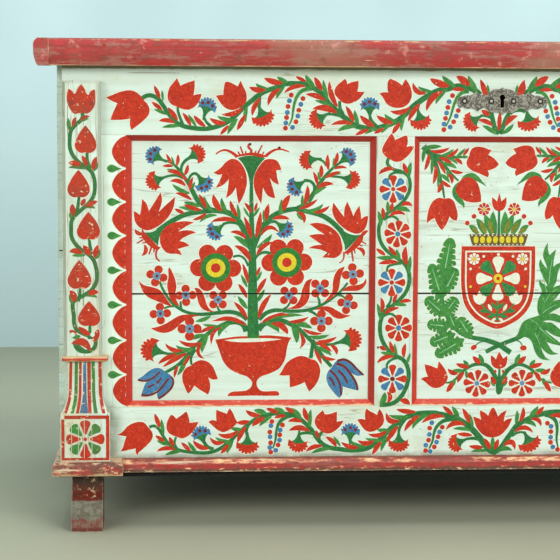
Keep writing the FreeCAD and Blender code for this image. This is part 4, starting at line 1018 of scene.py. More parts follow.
def tree_strokes(art):
    """Strokes of red beside the stems, and the long red leaves."""
    art.leaves("red", (
        (60.5, 323.5, 53, 337.5, 4.2), (67, 322, 68.5, 337, 4.8, -0.06), (62, 321, 48, 321, 4.2, -0.05),
        (74, 308, 54, 313.5, 6, -0.14), (77.5, 309, 82, 323.5, 5.2, -0.05), (80, 302.5, 73, 309.5, 4),
        (78.5, 295, 58, 301, 6.2, -0.17), (84, 289, 88.5, 307, 5, 0.05), (86.5, 276.5, 65, 285.5, 5.4, -0.08),
        (105.5, 265, 96, 284, 5.8, -0.04), (100, 263, 76, 270.5, 5.8, 0.04), (77, 258.5, 64, 264.5, 5),
        (106, 258.5, 88, 250, 4.8, 0.08), (126.5, 262, 115.5, 284, 8.4, 0.1),
        (147.5, 254.5, 138, 276, 6.4, 0.06), (146.5, 248.5, 112.5, 247, 6.2, -0.1),
        (166.4, 259.5, 157, 273, 5, -0.04), (170.6, 261, 174, 273.5, 4),
        (166, 225.5, 156.5, 254.5, 6.4, -0.03), (172.5, 226.5, 178.5, 261, 7.2, -0.03),
        (186.5, 250, 189.5, 271.5, 7.2, 0.05), (209.5, 262, 218.5, 283.5, 8.4, 0.1),
        (195, 251, 218, 250.5, 5.8, 0.12), (269, 317, 268, 337.5, 5.8, 0.04),
        (277, 323, 281, 340.5, 5.6, -0.05), (277, 318, 294, 319, 4.2, 0.13),
        (265, 306, 286, 314.5, 5, 0.05), (259.5, 307, 259.5, 323.5, 6),
        (254.5, 296.5, 248.5, 314.5, 5, -0.05), (254.5, 292, 276.5, 297.5, 6.4, 0.15),
        (236.5, 271, 241, 296.5, 6.6, -0.08), (230, 265, 255, 278, 5.2, -0.07),
        (250.5, 260, 271, 269, 5.4, -0.1), (227.5, 260.5, 236.5, 245, 6, 0.25),
        (159.5, 224.5, 138, 233.5, 5.8, -0.16), (164.8, 195, 143.5, 215.5, 8, -0.14),
        (162, 165.5, 154.5, 192, 5.6, -0.03), (160.5, 145.5, 148.8, 164.5, 6, -0.04),
        (161, 117.5, 143, 140, 6.4, -0.05), (179.5, 229.5, 203.5, 233, 5.8, 0.36),
        (173.6, 203, 195.5, 220.5, 6, 0.12), (173.2, 175, 178.5, 187.5, 4),
        (174.5, 151, 187, 172.5, 6.6, 0.03), (176.5, 118.5, 193.5, 150.5, 7.4, 0.07),
        (117.5, 107, 96.5, 97.8, 5, -0.04), (98.5, 85.2, 69.5, 88.8, 5.8, 0.16),
        (74.5, 75.2, 51.4, 84.4, 6, 0.17), (66.5, 69.5, 41.8, 56.6, 6.4, -0.06),
        (80.5, 71, 48, 52.4, 6.4, -0.03), (84.5, 68.5, 75.8, 53.4, 4.6),
        (68.5, 54, 63.6, 37.8, 4.6, -0.06), (217.5, 113.5, 244, 119.8, 5.4, -0.1),
        (236.5, 103.2, 262.5, 97.2, 5, -0.1), (256.5, 87, 282, 92.8, 5.6, -0.12),
        (253.5, 85, 275.5, 72, 5.4, 0.06), (273.5, 81, 281.8, 67.8, 5.8, 0.2),
        (251.8, 75.5, 261.8, 54.5, 5, 0.03), (262.5, 67, 281, 62.4, 4.6, -0.12)))
    art.shape("red", [(127.5, 106, 1), (119, 99), (115.4, 91), (113, 82, 1), (111.4, 91), (112.6, 98.6),
                      (119, 104.4)])
    art.shape("red", [(101, 86.5, 1), (98.6, 79), (98, 71), (104.4, 63.4, 1), (96.4, 66), (92.6, 74),
                      (95, 81)])
    art.shape("red", [(192, 110.8, 1), (200, 112.8), (208.4, 112), (214, 106.4), (216.4, 101),
                      (215.6, 96.2, 1), (209.6, 100.4), (204, 105), (197.4, 108.4)])
    art.shape("red", [(230.6, 100.6, 1), (236.8, 94), (240, 87), (237.6, 81.4), (231.8, 76.4, 1),
                      (234, 84), (233.4, 91.4)])
    art.shape("red", [(16.2, 168.6, 1), (23, 163), (33, 160.4), (43, 157), (49, 151), (55, 142), (61, 134, 1),
                      (52, 136.6), (41, 141), (30, 146), (23, 152.4), (19.4, 160)])
    art.shape("red", [(57, 187, 1), (61, 180), (64.6, 171), (66.4, 161), (65, 151), (66.6, 142.6),
                      (71, 134.4, 1), (63.4, 137.6), (58, 145), (55.6, 153), (54.2, 163), (56, 174),
                      (55.6, 183)])
    art.shape("red", [(90.4, 159, 1), (96, 158.4), (101, 153.4), (104.4, 145), (107.4, 135.4), (112, 129.4),
                      (118, 127, 1), (110, 127), (101.4, 130.6), (97, 136.6), (94.4, 145), (93, 152)])
    art.shape("red", [(32.4, 105, 1), (42, 107), (52, 111), (62, 117), (70, 121.6), (80, 123.2),
                      (98.5, 121.6, 1), (84, 118.6), (75, 113.4), (68, 107), (60, 101), (50, 98.6),
                      (41, 100.4)])
    art.shape("red", [(113.4, 113.8, 1), (120, 117), (132, 120.6), (145, 119), (155, 113.4), (160.4, 108, 1),
                      (151, 110.6), (140, 114.4), (126, 114.4)])
    art.shape("red", [(248.4, 171, 1), (241, 168.4), (237, 162), (234.4, 155), (232.8, 147), (229, 139),
                      (222, 133.4), (212.6, 131, 1), (221, 130.4), (230.4, 131), (238.4, 135.4),
                      (243, 142), (245, 150), (245, 159), (246, 165.4)])
    art.shape("red", [(292, 187.4, 1), (283, 183.4), (278, 175), (276, 165), (275.6, 156), (271.4, 148),
                      (264, 139.4, 1), (275, 145), (282.6, 153.4), (285, 162), (286, 170), (289, 180)])
    art.shape("red", [(320.4, 171.4, 1), (316.4, 165), (308, 162.4), (297, 161), (288, 154.4, 1),
                      (298, 154.4), (310, 154.8), (316.6, 158.4), (321.4, 166)])
    art.shape("red", [(251.6, 129, 1), (262, 133.6), (273, 133), (283, 127.4), (292, 122.8), (301, 121.6, 1),
                      (294.4, 118.8), (286, 116.8), (278, 119), (271, 125), (263, 128.8)])
    art.shape("red", [(178.8, 110.6, 1), (186, 118), (195, 122.2), (205, 125), (212.4, 124.4),
                      (218.4, 121, 1), (208, 121.4), (198, 119.2), (189, 114.6)])


def bowl(art):
    """The footed red bowl that the tree grows from."""
    art.shape("red", [(118.3, 89.2, 1), (123.6, 75), (128.6, 61), (136.6, 50.6), (149, 43.4), (161, 39),
                      (167, 33.6), (168.2, 29), (166, 24), (160, 20.2), (152, 19.2), (142, 18.6),
                      (136.4, 15.8), (135, 12.8, 1), (150, 12.8), (170, 13.2), (190, 12.8),
                      (203.4, 13, 1), (204.6, 15), (202.6, 18.6), (197, 19.2), (185, 18.8), (179, 20.4),
                      (175, 25), (174, 29.4), (174.8, 34), (180, 39), (194, 44), (205, 50.6), (212, 62),
                      (214.4, 75), (216.8, 85), (220.8, 91.6, 1), (205, 93.6), (188, 94.8), (168, 94),
                      (146, 93.2), (130, 91)])
    art.shape("cream", [(130.6, 88.4, 1), (145, 90.2), (158, 90.8), (180, 91), (194, 90.6), (208, 89.4, 1),
                        (194, 87.6), (178, 86.2), (160, 85.6), (144, 86.2)])
    art.stem([(169.5, 86), (169.4, 96)], 16.4, 15.6, "ring")


def paired_blooms(art):
    """The blooms that hang in pairs, with a green calyx between each pair."""
    art.shape("red", [(116, 312.6, 1), (126, 319.6), (132, 326.6), (140, 331), (148, 329), (154.4, 322),
                      (159, 312), (160.2, 300), (157.4, 287), (153.6, 278), (149.4, 271, 1), (147, 282),
                      (145.6, 293.4, 1), (140, 284.6), (132.4, 279, 1), (134.6, 290), (136.2, 304.4, 1),
                      (128, 296), (118.6, 292.6, 1), (123, 300), (127.4, 310.8, 1), (122, 309.8)])
    art.shape("red", [(206, 316.4, 1), (203, 325), (199, 329.4), (192, 331), (184, 329.6), (177, 322),
                      (171, 311), (169, 300), (171, 288), (175, 279), (179.4, 271.6, 1), (180.6, 282),
                      (181.6, 293.4, 1), (186.4, 284), (192, 280), (198, 279, 1), (195.6, 289),
                      (190.4, 306.4, 1), (196, 300), (203, 297, 1), (200.6, 306), (199.2, 316.2, 1)])
    art.shape("red", [(10.2, 261.4, 1), (14, 259.4), (18.2, 256, 1), (20, 266), (21, 277.4, 1), (26.4, 272),
                      (30.2, 261.6, 1), (38, 274), (45.6, 286.6, 1), (47.4, 275), (42.6, 259.8, 1), (52, 269),
                      (64.8, 280.6, 1), (62.4, 266), (55.4, 253), (46, 244), (36, 238), (27, 236),
                      (18, 239.6), (12, 247), (10.6, 254)])
    art.shape("red", [(53, 206.4, 1), (47.4, 213), (44.6, 221), (45.4, 230), (51, 239), (60, 245),
                      (70, 247.4), (80, 248), (90, 246.4, 1), (80, 241.4), (68.4, 234, 1), (78, 236),
                      (86, 235.6), (92.4, 233, 1), (83, 229.6), (76, 226), (70.4, 221.8, 1), (78, 219.8),
                      (83.8, 215.4, 1), (75, 213), (68, 210.8, 1), (71.4, 208), (73.4, 202.6, 1),
                      (66, 204.8), (59, 204.6)])
    art.shape("red", [(276, 273, 1), (282, 265), (290.6, 254, 1), (291, 265), (294.6, 274.4, 1), (299, 265),
                      (303, 254.8, 1), (306, 262), (311, 269, 1), (312.6, 260), (313.6, 251, 1), (318, 254.4),
                      (322.8, 255.2, 1), (322, 248), (320, 240.6), (316, 235), (310, 231.6), (302, 232.6),
                      (293, 237), (284.4, 244), (278, 252), (274.6, 262)])
    art.shape("red", [(244, 244.6, 1), (255, 246), (268, 243), (278, 236.6), (284.4, 229), (287.4, 220),
                      (288.6, 210), (285, 203), (278, 198.8), (270, 199.4), (261.6, 199.4, 1), (264.6, 203),
                      (268.4, 206.2, 1), (258, 210.4), (243.4, 212, 1), (250, 215.4), (261.4, 216.6, 1),
                      (253, 222), (243.6, 229, 1), (254, 231), (264.6, 230.4, 1), (255, 236.6)])
    art.shape("stem", [(148, 332, 1), (155, 324), (160.6, 313), (163.4, 302), (164, 290, 1), (168.2, 290, 1),
                       (168.4, 302), (170.6, 311), (176, 322), (184.4, 332, 1), (175, 334.6), (160, 335)])
    art.shape("stem", [(23.4, 233.2, 1), (33, 233.4), (41, 237), (49, 243.4, 1), (53, 239.4, 1), (46, 231),
                       (43, 223), (42.4, 215, 1), (33, 224)])
    art.shape("stem", [(313, 230.4, 1), (304, 229.6), (296, 232), (288, 237), (283, 242, 1), (279.6, 238, 1),
                       (285, 231), (289, 223), (291.4, 216), (292, 208.4, 1), (302, 218)])


def fringes(art):
    """The red rim on each calyx with its fringe of hairs."""
    art.shape("red", [(144.4, 332.6, 1), (150, 336.6), (158, 338.4), (166, 339.6), (174, 338.8), (182, 336.6),
                      (188, 334.4, 1), (180, 333), (166, 335.6), (154, 334.6)])
    art.stem([(147, 334), (139, 340), (131, 342.6), (124, 340.8), (118.8, 337)], 4.4, 1.6, "red", 0.6)
    art.stem([(185, 334.6), (192, 340.4), (200, 343.8), (208, 343.4), (216, 340.6)], 4.2, 1.6, "red", 0.6)
    for base, tip, width in (((150.6, 336), (148.4, 340.6), 2.6), ((155, 337), (151.2, 347.6), 2.4),
                             ((158.6, 337), (158.4, 341.6), 2.2), ((171, 338), (172, 342), 2.2),
                             ((174.6, 338), (180.4, 349.4), 2.4), ((180, 336), (182.6, 340.4), 2.2)):
        art.stem([base, tip], width, width * 0.7, "red")
    art.stem([(165, 337), (165.6, 343), (161.6, 347), (164.6, 351.4)], 3.6, 3, "red")
    art.disc("dark", 164.4, 350.4, 1.7)
    art.disc("dark", 203.2, 345.8, 1.9)
    art.shape("red", [(21.4, 238.4, 1), (24.4, 233), (34, 223), (43, 214), (46, 214.4, 1), (41.6, 209.8),
                      (33, 213.4), (25, 221), (20, 229)])
    art.leaf("red", (22, 231), (11.6, 237.6), 5.4, 0.2)
    art.leaf("red", (24, 216.6), (20.2, 201.8), 5.6, 0.25)
    for base, tip, width in (((23, 226), (17.2, 226), 2), ((22.4, 223.4), (13.8, 218.6), 2.2),
                             ((26, 220), (21.2, 218.8), 2), ((33.6, 214), (30, 203.8), 2.6),
                             ((37.2, 212.6), (36.4, 206.4), 2.4)):
        art.stem([base, tip], width, width * 0.7, "red")
    art.stem([(41.6, 212), (39.2, 204), (40.4, 198.4), (44.6, 194.8)], 3, 1.8, "red")
    art.shape("red", [(314.6, 232.6, 1), (311, 228), (302, 217.6), (293, 208), (290, 206.8, 1), (295, 204.4),
                      (303, 208.6), (311.4, 216), (316.4, 225)])
    art.leaf("red", (314.6, 227), (323.6, 235.6), 5, 0.15)
    art.leaf("red", (308, 212), (317.2, 200.6), 5.4, 0.28)
    for base, tip, width in (((313, 222), (320.6, 217.6), 2.2), ((309.6, 217.6), (315.6, 214.6), 2),
                             ((304.4, 211), (305.8, 204.8), 2.2), ((301, 209), (303.2, 194.2), 2.6),
                             ((295.8, 207), (296, 203), 2.2)):
        art.stem([base, tip], width, width * 0.7, "red")
    art.stem([(290.6, 207), (290.4, 199), (288, 194.4), (284.4, 192.4)], 2.6, 1.4, "red")


def foot_tulips(art):
    """The red tulips on each side of the bowl's foot."""
    art.shape("red", [(86.6, 54.4, 1), (80, 51.6), (74.8, 44), (74.6, 34), (78, 24), (82, 16.2, 1), (86, 20),
                      (90.4, 27.4, 1), (98, 21.4), (108.8, 15.2, 1), (111.6, 23), (111.2, 31), (109, 38.4, 1),
                      (115, 35.4), (122, 36, 1), (119, 44), (115, 53), (109, 59), (100, 61.6), (91.4, 59)])
    art.shape("red", [(247, 62.4, 1), (240, 65.6), (232, 66.6), (222, 63), (213.4, 56), (208.4, 47),
                      (204.2, 40.8, 1), (211, 40.2), (218.4, 40.6, 1), (218.6, 32), (219, 24.2, 1),
                      (228.6, 26.6), (239, 31.2, 1), (242, 24), (245, 18.2, 1), (252, 25), (257.4, 34),
                      (259.8, 45), (258.6, 53), (254, 60)])


def striped_tulips(art):
    """The blue tulips in the lower corners, with dark stripes."""
    art.shape("blue", [(14.8, 36.4, 1), (22, 41), (30, 47.6), (38, 51.2), (46, 50.4), (51.6, 45, 1), (43, 43),
                       (35, 37.6), (27, 34.2), (20, 34.2)])
    art.shape("blue", [(19.2, 15.2, 1), (21.6, 22), (24.6, 30), (31, 38), (40, 43.4), (51, 46, 1), (57, 40),
                       (48, 28), (38.4, 20), (28, 15)])
    art.shape("blue", [(42, 9.4, 1), (40.4, 16), (43.4, 23), (50, 34), (51, 45.6, 1), (58, 42),
                       (62.4, 36), (62, 28), (57, 20.6), (50, 14.6)])
    for points, width in (([(15, 35.6), (25, 34), (35, 38), (44.6, 46.4)], 2.6),
                          ([(28, 24.8), (37, 29.4)], 2.6),
                          ([(40.4, 30.6), (46, 37.6)], 2.6),
                          ([(19.4, 14.6), (31, 14.8), (43, 21), (52, 32), (56, 37)], 3),
                          ([(42.2, 9.8), (52, 16.4), (60, 25), (62.4, 33), (59.4, 39.4)], 3)):
        art.stem(points, width, width * 0.8, "dark")
    art.shape("blue", [(276, 51.6, 1), (283, 60.6), (292, 61.6), (301, 57), (309, 47), (318, 40.6, 1),
                       (310, 39.4), (302.4, 43), (293, 50)])
    art.shape("blue", [(275, 51, 1), (284, 56), (293, 51.6), (301.6, 42), (308.6, 30), (310.8, 19.4, 1),
                       (300, 22), (290.6, 25.6), (284, 36)])
    art.shape("blue", [(275.6, 51, 1), (270, 44.6), (268.2, 36), (271, 27), (277, 18.6), (283, 11.6),
                       (286.4, 9.4, 1), (290, 15), (290.4, 27), (286, 40)])
    for points, width in (([(283, 59.6), (292, 61.6), (300.6, 57.6), (309.4, 48.6), (318.6, 40.4)], 3.4),
                          ([(282, 56), (292, 52.4), (301, 42), (308.4, 30), (310.8, 20)], 3.4),
                          ([(284, 47), (291.6, 39.4), (297, 29.4)], 3),
                          ([(273, 47), (281, 39), (286.4, 28), (288.4, 13)], 3),
                          ([(271.6, 37.2), (275.6, 33.6), (279.2, 25.6)], 2.8)):
        art.stem(points, width, width * 0.8, "dark")


def small_flowers(art):
    """Carnations, cornflowers, little round flowers and the two large ones."""
    for x, z, turn, colour in ((50, 328.5, 153, "blue"), (51, 306.4, 200, "red"), (81, 330.5, 30, "red"),
                               (94.5, 309.5, -52, "blue"), (283, 325.6, 37, "blue"), (286, 306.8, -12, "red"),
                               (255.5, 331.2, 187, "red"), (237, 301.6, 213, "blue"),
                               (129, 243.6, 220, "blue"),
                               (199.6, 246.6, -38, "blue"), (50.6, 71.4, 166, "red"),
                               (283.6, 84.6, 14, "red")):
        art.fan(x, z, turn, 1.25 if z < 100 else 1.0, colour)
    for x, z, turn, size in ((40.5, 175, 75, 1.0), (79, 149, 92, 1.0), (45, 124.5, 94, 1.0),
                             (122, 143, 45, 1.0), (84, 104, 90, 1.12), (217, 148.5, 43, 1.0),
                             (259, 158, 46, 1.02), (303, 177, 96, 1.04), (296, 137, 77, 0.98),
                             (261, 114, 90, 1.06)):
        art.posy(x, z, turn, size)
    art.bloom(118.8, 185.6, -1)
    art.bloom(214, 193, 1)


def outer_field():
    """All that is painted on each outer panel."""
    art = Painting(OPENING_LEFT, OPENING_BOTTOM, PANEL_FACE)
    for motif in (tree_stems, tree_strokes, bowl, paired_blooms, fringes,
                  foot_tulips, striped_tulips, small_flowers):
        motif(art)
    art.build_pair("field_painting", cuts=(SEAM,))


outer_field()


# The two rails: a wave of stem with tulips, cornflowers, carnations and bead chains

def tulip(art, lines):
    """The petals of a tulip, all of them red."""
    for points in lines:
        art.shape("red", points)


def beads(art, rows, first):
    """A chain of round dots, red and blue in turn."""
    for number, (x, z) in enumerate(rows):
        art.disc(first if number % 2 == 0 else {"red": "blue", "blue": "red"}[first], x, z, 3.3, halo=0.7)


def top_rail_half():
    """The left half of the top rail, and its mirror image on the right."""
    art = Painting(0, OPENING_TOP, FRAME_FACE)
    art.stem([(-480, 47), (-472, 51.6), (-465, 51.6), (-458, 48), (-451, 39), (-445, 30), (-437, 20),
              (-427, 13), (-412, 9.6), (-395, 8.6), (-381, 11.4), (-370, 15.6), (-361, 21.4),
              (-351, 30.6), (-344, 38), (-335, 45), (-326, 52.6), (-316, 58.4), (-304, 62.6), (-290, 68),
              (-276, 68.6), (-262, 67.4), (-250, 61.6), (-240, 54), (-232.4, 43.4), (-225, 36.4),
              (-216, 28), (-207, 21.4), (-198, 14.6), (-189, 11.6), (-176, 9.8), (-163, 11.6), (-150, 16),
              (-139, 21.6), (-130, 29), (-121, 38), (-111, 46), (-99, 54), (-87, 60), (-74, 63),
              (-60, 66.4), (-48, 65.6), (-38, 61.6), (-30, 55)], 5.6, 8)
    art.stem([(-424, 12), (-429, 24), (-431.6, 33), (-431.4, 38)], 4.4, 3.2)
    art.stem([(-388, 12), (-395, 19), (-397.6, 27)], 4.4, 3)
    art.stem([(-324, 52), (-324, 44), (-324.4, 36)], 5, 3.4)
    art.stem([(-213, 28), (-217, 37), (-217.6, 46)], 5, 4)
    art.stem([(-216, 26), (-226, 28.4), (-237, 28.4)], 4, 3.2)
    art.stem([(-168, 13), (-174.6, 20), (-177.6, 28)], 4.6, 3.6)
    art.stem([(-111, 45), (-113, 38), (-112.8, 33)], 4.4, 3)
    art.stem([(-255, 62), (-265, 60.6), (-272.4, 54.6), (-277, 45), (-279.4, 33), (-281, 22),
              (-285.4, 13)], 5.6, 1.8, "leaf")
    art.stem([(-45, 60), (-55, 57.6), (-62, 49), (-66, 38), (-69.4, 26), (-75.6, 13)], 5.6, 1.8, "leaf")
    art.leaves("leaf", (
        (-451, 45, -452.4, 59, 3.4), (-446, 27, -463, 33.6, 5, -0.05), (-428, 12, -452.6, 10, 5, -0.05),
        (-407, 11, -418, 27.6, 4.4), (-358, 21, -380, 25.6, 6, 0.1), (-340, 38, -342, 17, 5.4, -0.08),
        (-353, 22, -366, 1.4, 6.6, -0.05), (-310, 61, -329, 68.6, 6.4, 0.14),
        (-290, 66, -301.4, 48.4, 6, -0.1), (-286, 70, -301, 77.4, 6, 0.05),
        (-250, 62, -263.4, 80.4, 7.4, 0.05), (-233, 47, -239.6, 74, 6, 0.04),
        (-229, 38.6, -251, 46.6, 5, -0.06), (-195, 12.6, -220, 6, 6.4, -0.1),
        (-192, 14, -197.6, 34.4, 6, 0.05), (-141, 19, -157.6, 29.6, 6.4, 0.14),
        (-168, 10.6, -183.6, 2.6, 5, -0.06), (-148, 17, -161.6, 3.6, 5.4, -0.08),
        (-130, 29, -134.6, 6.6, 6, -0.1), (-94, 59.6, -113.6, 66, 5, 0.1),
        (-63, 66, -81.4, 80.4, 7.4, 0.06), (-34, 60, -46.4, 80.6, 8, 0.05), (-19, 52, -20, 69.4, 4.6),
        (-74, 62.6, -89.4, 42.4, 6.6, -0.1)))
    art.leaves("red", (
        (-455, 48.4, -462.6, 65, 5.6), (-452.4, 33.4, -465.8, 43.6, 5.6), (-432, 20, -444.6, 36.6, 6.6),
        (-435.6, 16.4, -456.8, 18.6, 6, -0.1), (-414.6, 12.6, -425.4, 29.6, 5.8, -0.04),
        (-395.4, 12, -410.6, 26.4, 6.6, 0.06), (-368.6, 16.6, -389.8, 23, 6.8, 0.12),
        (-346, 36.4, -374.4, 28, 6.6, 0.13), (-343, 27, -353.6, 6.6, 6.6), (-364.8, 13, -375.8, 0.8, 5.2),
        (-322.6, 49, -333.6, 25.6, 6.6, -0.1), (-316.6, 60.4, -337.8, 64, 7.4, 0.1),
        (-293.6, 69, -318.2, 75.6, 8, 0.05), (-296.6, 61.6, -312.6, 39.2, 7, -0.14),
        (-263.6, 65, -291.8, 55.8, 6, -0.13), (-262.6, 71.4, -276.4, 78, 5),
        (-241.6, 60, -251.4, 77.4, 7.6), (-220.6, 38.6, -231.6, 72.2, 7.4, 0.08),
        (-237.6, 47, -262.8, 54.6, 7, -0.08), (-221.6, 30.4, -253.8, 35.4, 8.6, -0.12),
        (-200.8, 16, -229, 14.4, 6, -0.1), (-199.2, 18.6, -209.4, 39.6, 6.6, -0.03),
        (-171.6, 12.6, -190.4, 27.4, 8, 0.05), (-146.6, 17.4, -168.4, 27.4, 7.4, 0.08),
        (-178.6, 8.6, -196.8, 0.6, 5.6, -0.04), (-158.6, 10.2, -171.6, 3.4, 5.2),
        (-136.8, 17.6, -146.8, 2.4, 6.6, -0.04), (-124, 38.4, -150.6, 33.4, 6.8, 0.16),
        (-103, 57, -120.2, 71, 7, 0.24), (-72, 66.6, -97.8, 76.4, 9.4, 0.05),
        (-44.2, 67.6, -62.2, 80, 9.6, -0.03), (-21.6, 49.6, -30.2, 76, 7.6, -0.04),
        (-51, 61.6, -68.4, 61.6, 5.4, -0.06), (-80.6, 59.2, -101.8, 33.2, 8.4, -0.15),
        (-110.6, 43, -126.2, 19.2, 6.8, -0.05)))
    tulip(art, (
        [(-525.6, 49, 1), (-518, 52), (-508, 56), (-497, 58.4), (-488, 57), (-481, 52), (-475.6, 45),
         (-471, 40), (-468.6, 33), (-470.4, 26), (-476, 19.6), (-484, 13), (-492.4, 6.8, 1), (-494.4, 13),
         (-494, 21.6, 1), (-504, 20), (-519.8, 19.6, 1), (-517, 28), (-510.6, 41.6, 1), (-517, 44)],
        [(-432.6, 75, 1), (-436.6, 69.6), (-442, 63), (-444.6, 55), (-444.4, 46.6), (-440, 40.6),
         (-433, 37.4), (-426, 34.6), (-418, 33.4), (-410, 37), (-403.6, 44.6), (-400.2, 54.2, 1),
         (-405, 54), (-411.2, 52.4, 1), (-409.8, 60), (-409.4, 72, 1), (-419, 69), (-428.2, 64.8, 1),
         (-430.4, 70)],
        [(-349, 72, 1), (-345, 63.6), (-341.4, 55.6), (-341.2, 46), (-345, 40), (-351, 36), (-358, 33.4),
         (-366, 34.6), (-373, 39.6), (-377.6, 46), (-381.4, 51.8, 1), (-377, 53), (-371.6, 53.2, 1),
         (-371.2, 61), (-369.6, 69.4, 1), (-366, 70.6), (-360, 68.4), (-352.6, 64.4, 1), (-351, 68)],
        [(-211, 75.4, 1), (-208.6, 72.6), (-208, 68.4, 1), (-200, 71.4), (-192.8, 72.6, 1), (-193, 66),
         (-194.2, 58.6, 1), (-189, 58.4), (-184.4, 58.2, 1), (-188, 53), (-193, 47.6), (-200, 44),
         (-207, 42.4), (-213.4, 44), (-219.4, 49), (-224.4, 56), (-224, 62), (-220.4, 67.4), (-215.6, 71.4)],
        [(-150.6, 75.8, 1), (-153.6, 72), (-154.2, 64), (-153, 57.4, 1), (-158, 58), (-164.8, 56.4, 1),
         (-160, 51), (-156, 44), (-150, 39.4), (-142, 37.4), (-133, 38.4), (-125.6, 43.6), (-121.8, 52),
         (-122, 60.4), (-125.2, 68.6), (-130, 75.4, 1), (-133, 70.4), (-134.4, 66.8, 1), (-141.4, 72)]))
    for x, z, turn, colour, spread in ((-397, 24.4, 74, "blue", 1.0), (-324.4, 37.4, -68, "red", 1.2),
                                       (-234, 28.6, 210, "red", 1.05), (-177.2, 25.4, 92, "blue", 1.04),
                                       (-113, 34, -74, "red", 1.12)):
        art.fan(x, z, turn, 1.0, colour, spread)
    beads(art, ((-282, 53.5), (-284.4, 46), (-286.2, 38.4), (-287, 30.6), (-288, 24), (-289, 16.8),
                (-289.4, 10)), "red")
    beads(art, ((-266.4, 49), (-269.2, 41.4), (-271.8, 33.6), (-273, 26), (-275.6, 18.4), (-280, 11)), "red")
    beads(art, ((-67, 54), (-71.4, 46), (-73, 38.4), (-74.6, 31), (-76, 23.8), (-78, 16.4), (-78, 9)), "red")
    beads(art, ((-56.6, 41), (-59, 34.4), (-61.6, 27), (-65, 19.4), (-69.6, 12.4)), "blue")
    for side, mirror in (("left", False), ("right", True)):
        art.build(f"{side}_top_rail_painting", mirror=mirror)


def top_rail_middle():
    """The ornament in the middle of the top rail."""
    art = Painting(0, OPENING_TOP, FRAME_FACE)
    art.stem([(-3.4, 4), (-10, 13), (-13, 25), (-16, 36)], 7, 6)
    art.stem([(-3, 4), (2, 14), (6, 25), (13, 33), (24, 35.4), (31, 33)], 7, 4.4)
    art.stem([(-13, 25), (-22, 27.4), (-29, 28)], 4.4, 3)
    art.leaves("leaf", ((-8, 3, -26.6, 14.6, 6, -0.06), (1, 4, 16, 17, 6, -0.05), (23, 55, 21.6, 65.6, 4.4)))
    art.leaves("red", ((-4, 8, -2.6, 34, 6), (-12.6, 14.6, -32.2, 21.8, 6.4, -0.1), (-17, 28.6, -28, 35, 7),
                       (5.4, 14.4, 21.6, 27.6, 7.4, 0.16), (27, 56, 29.4, 72.6, 6.6)))
    art.fan(-29, 26.6, 213, 0.96, "red", 1.1)
    art.fan(33.4, 33, -76, 1.0, "red", 1.25)
    art.build("middle_top_rail_painting")


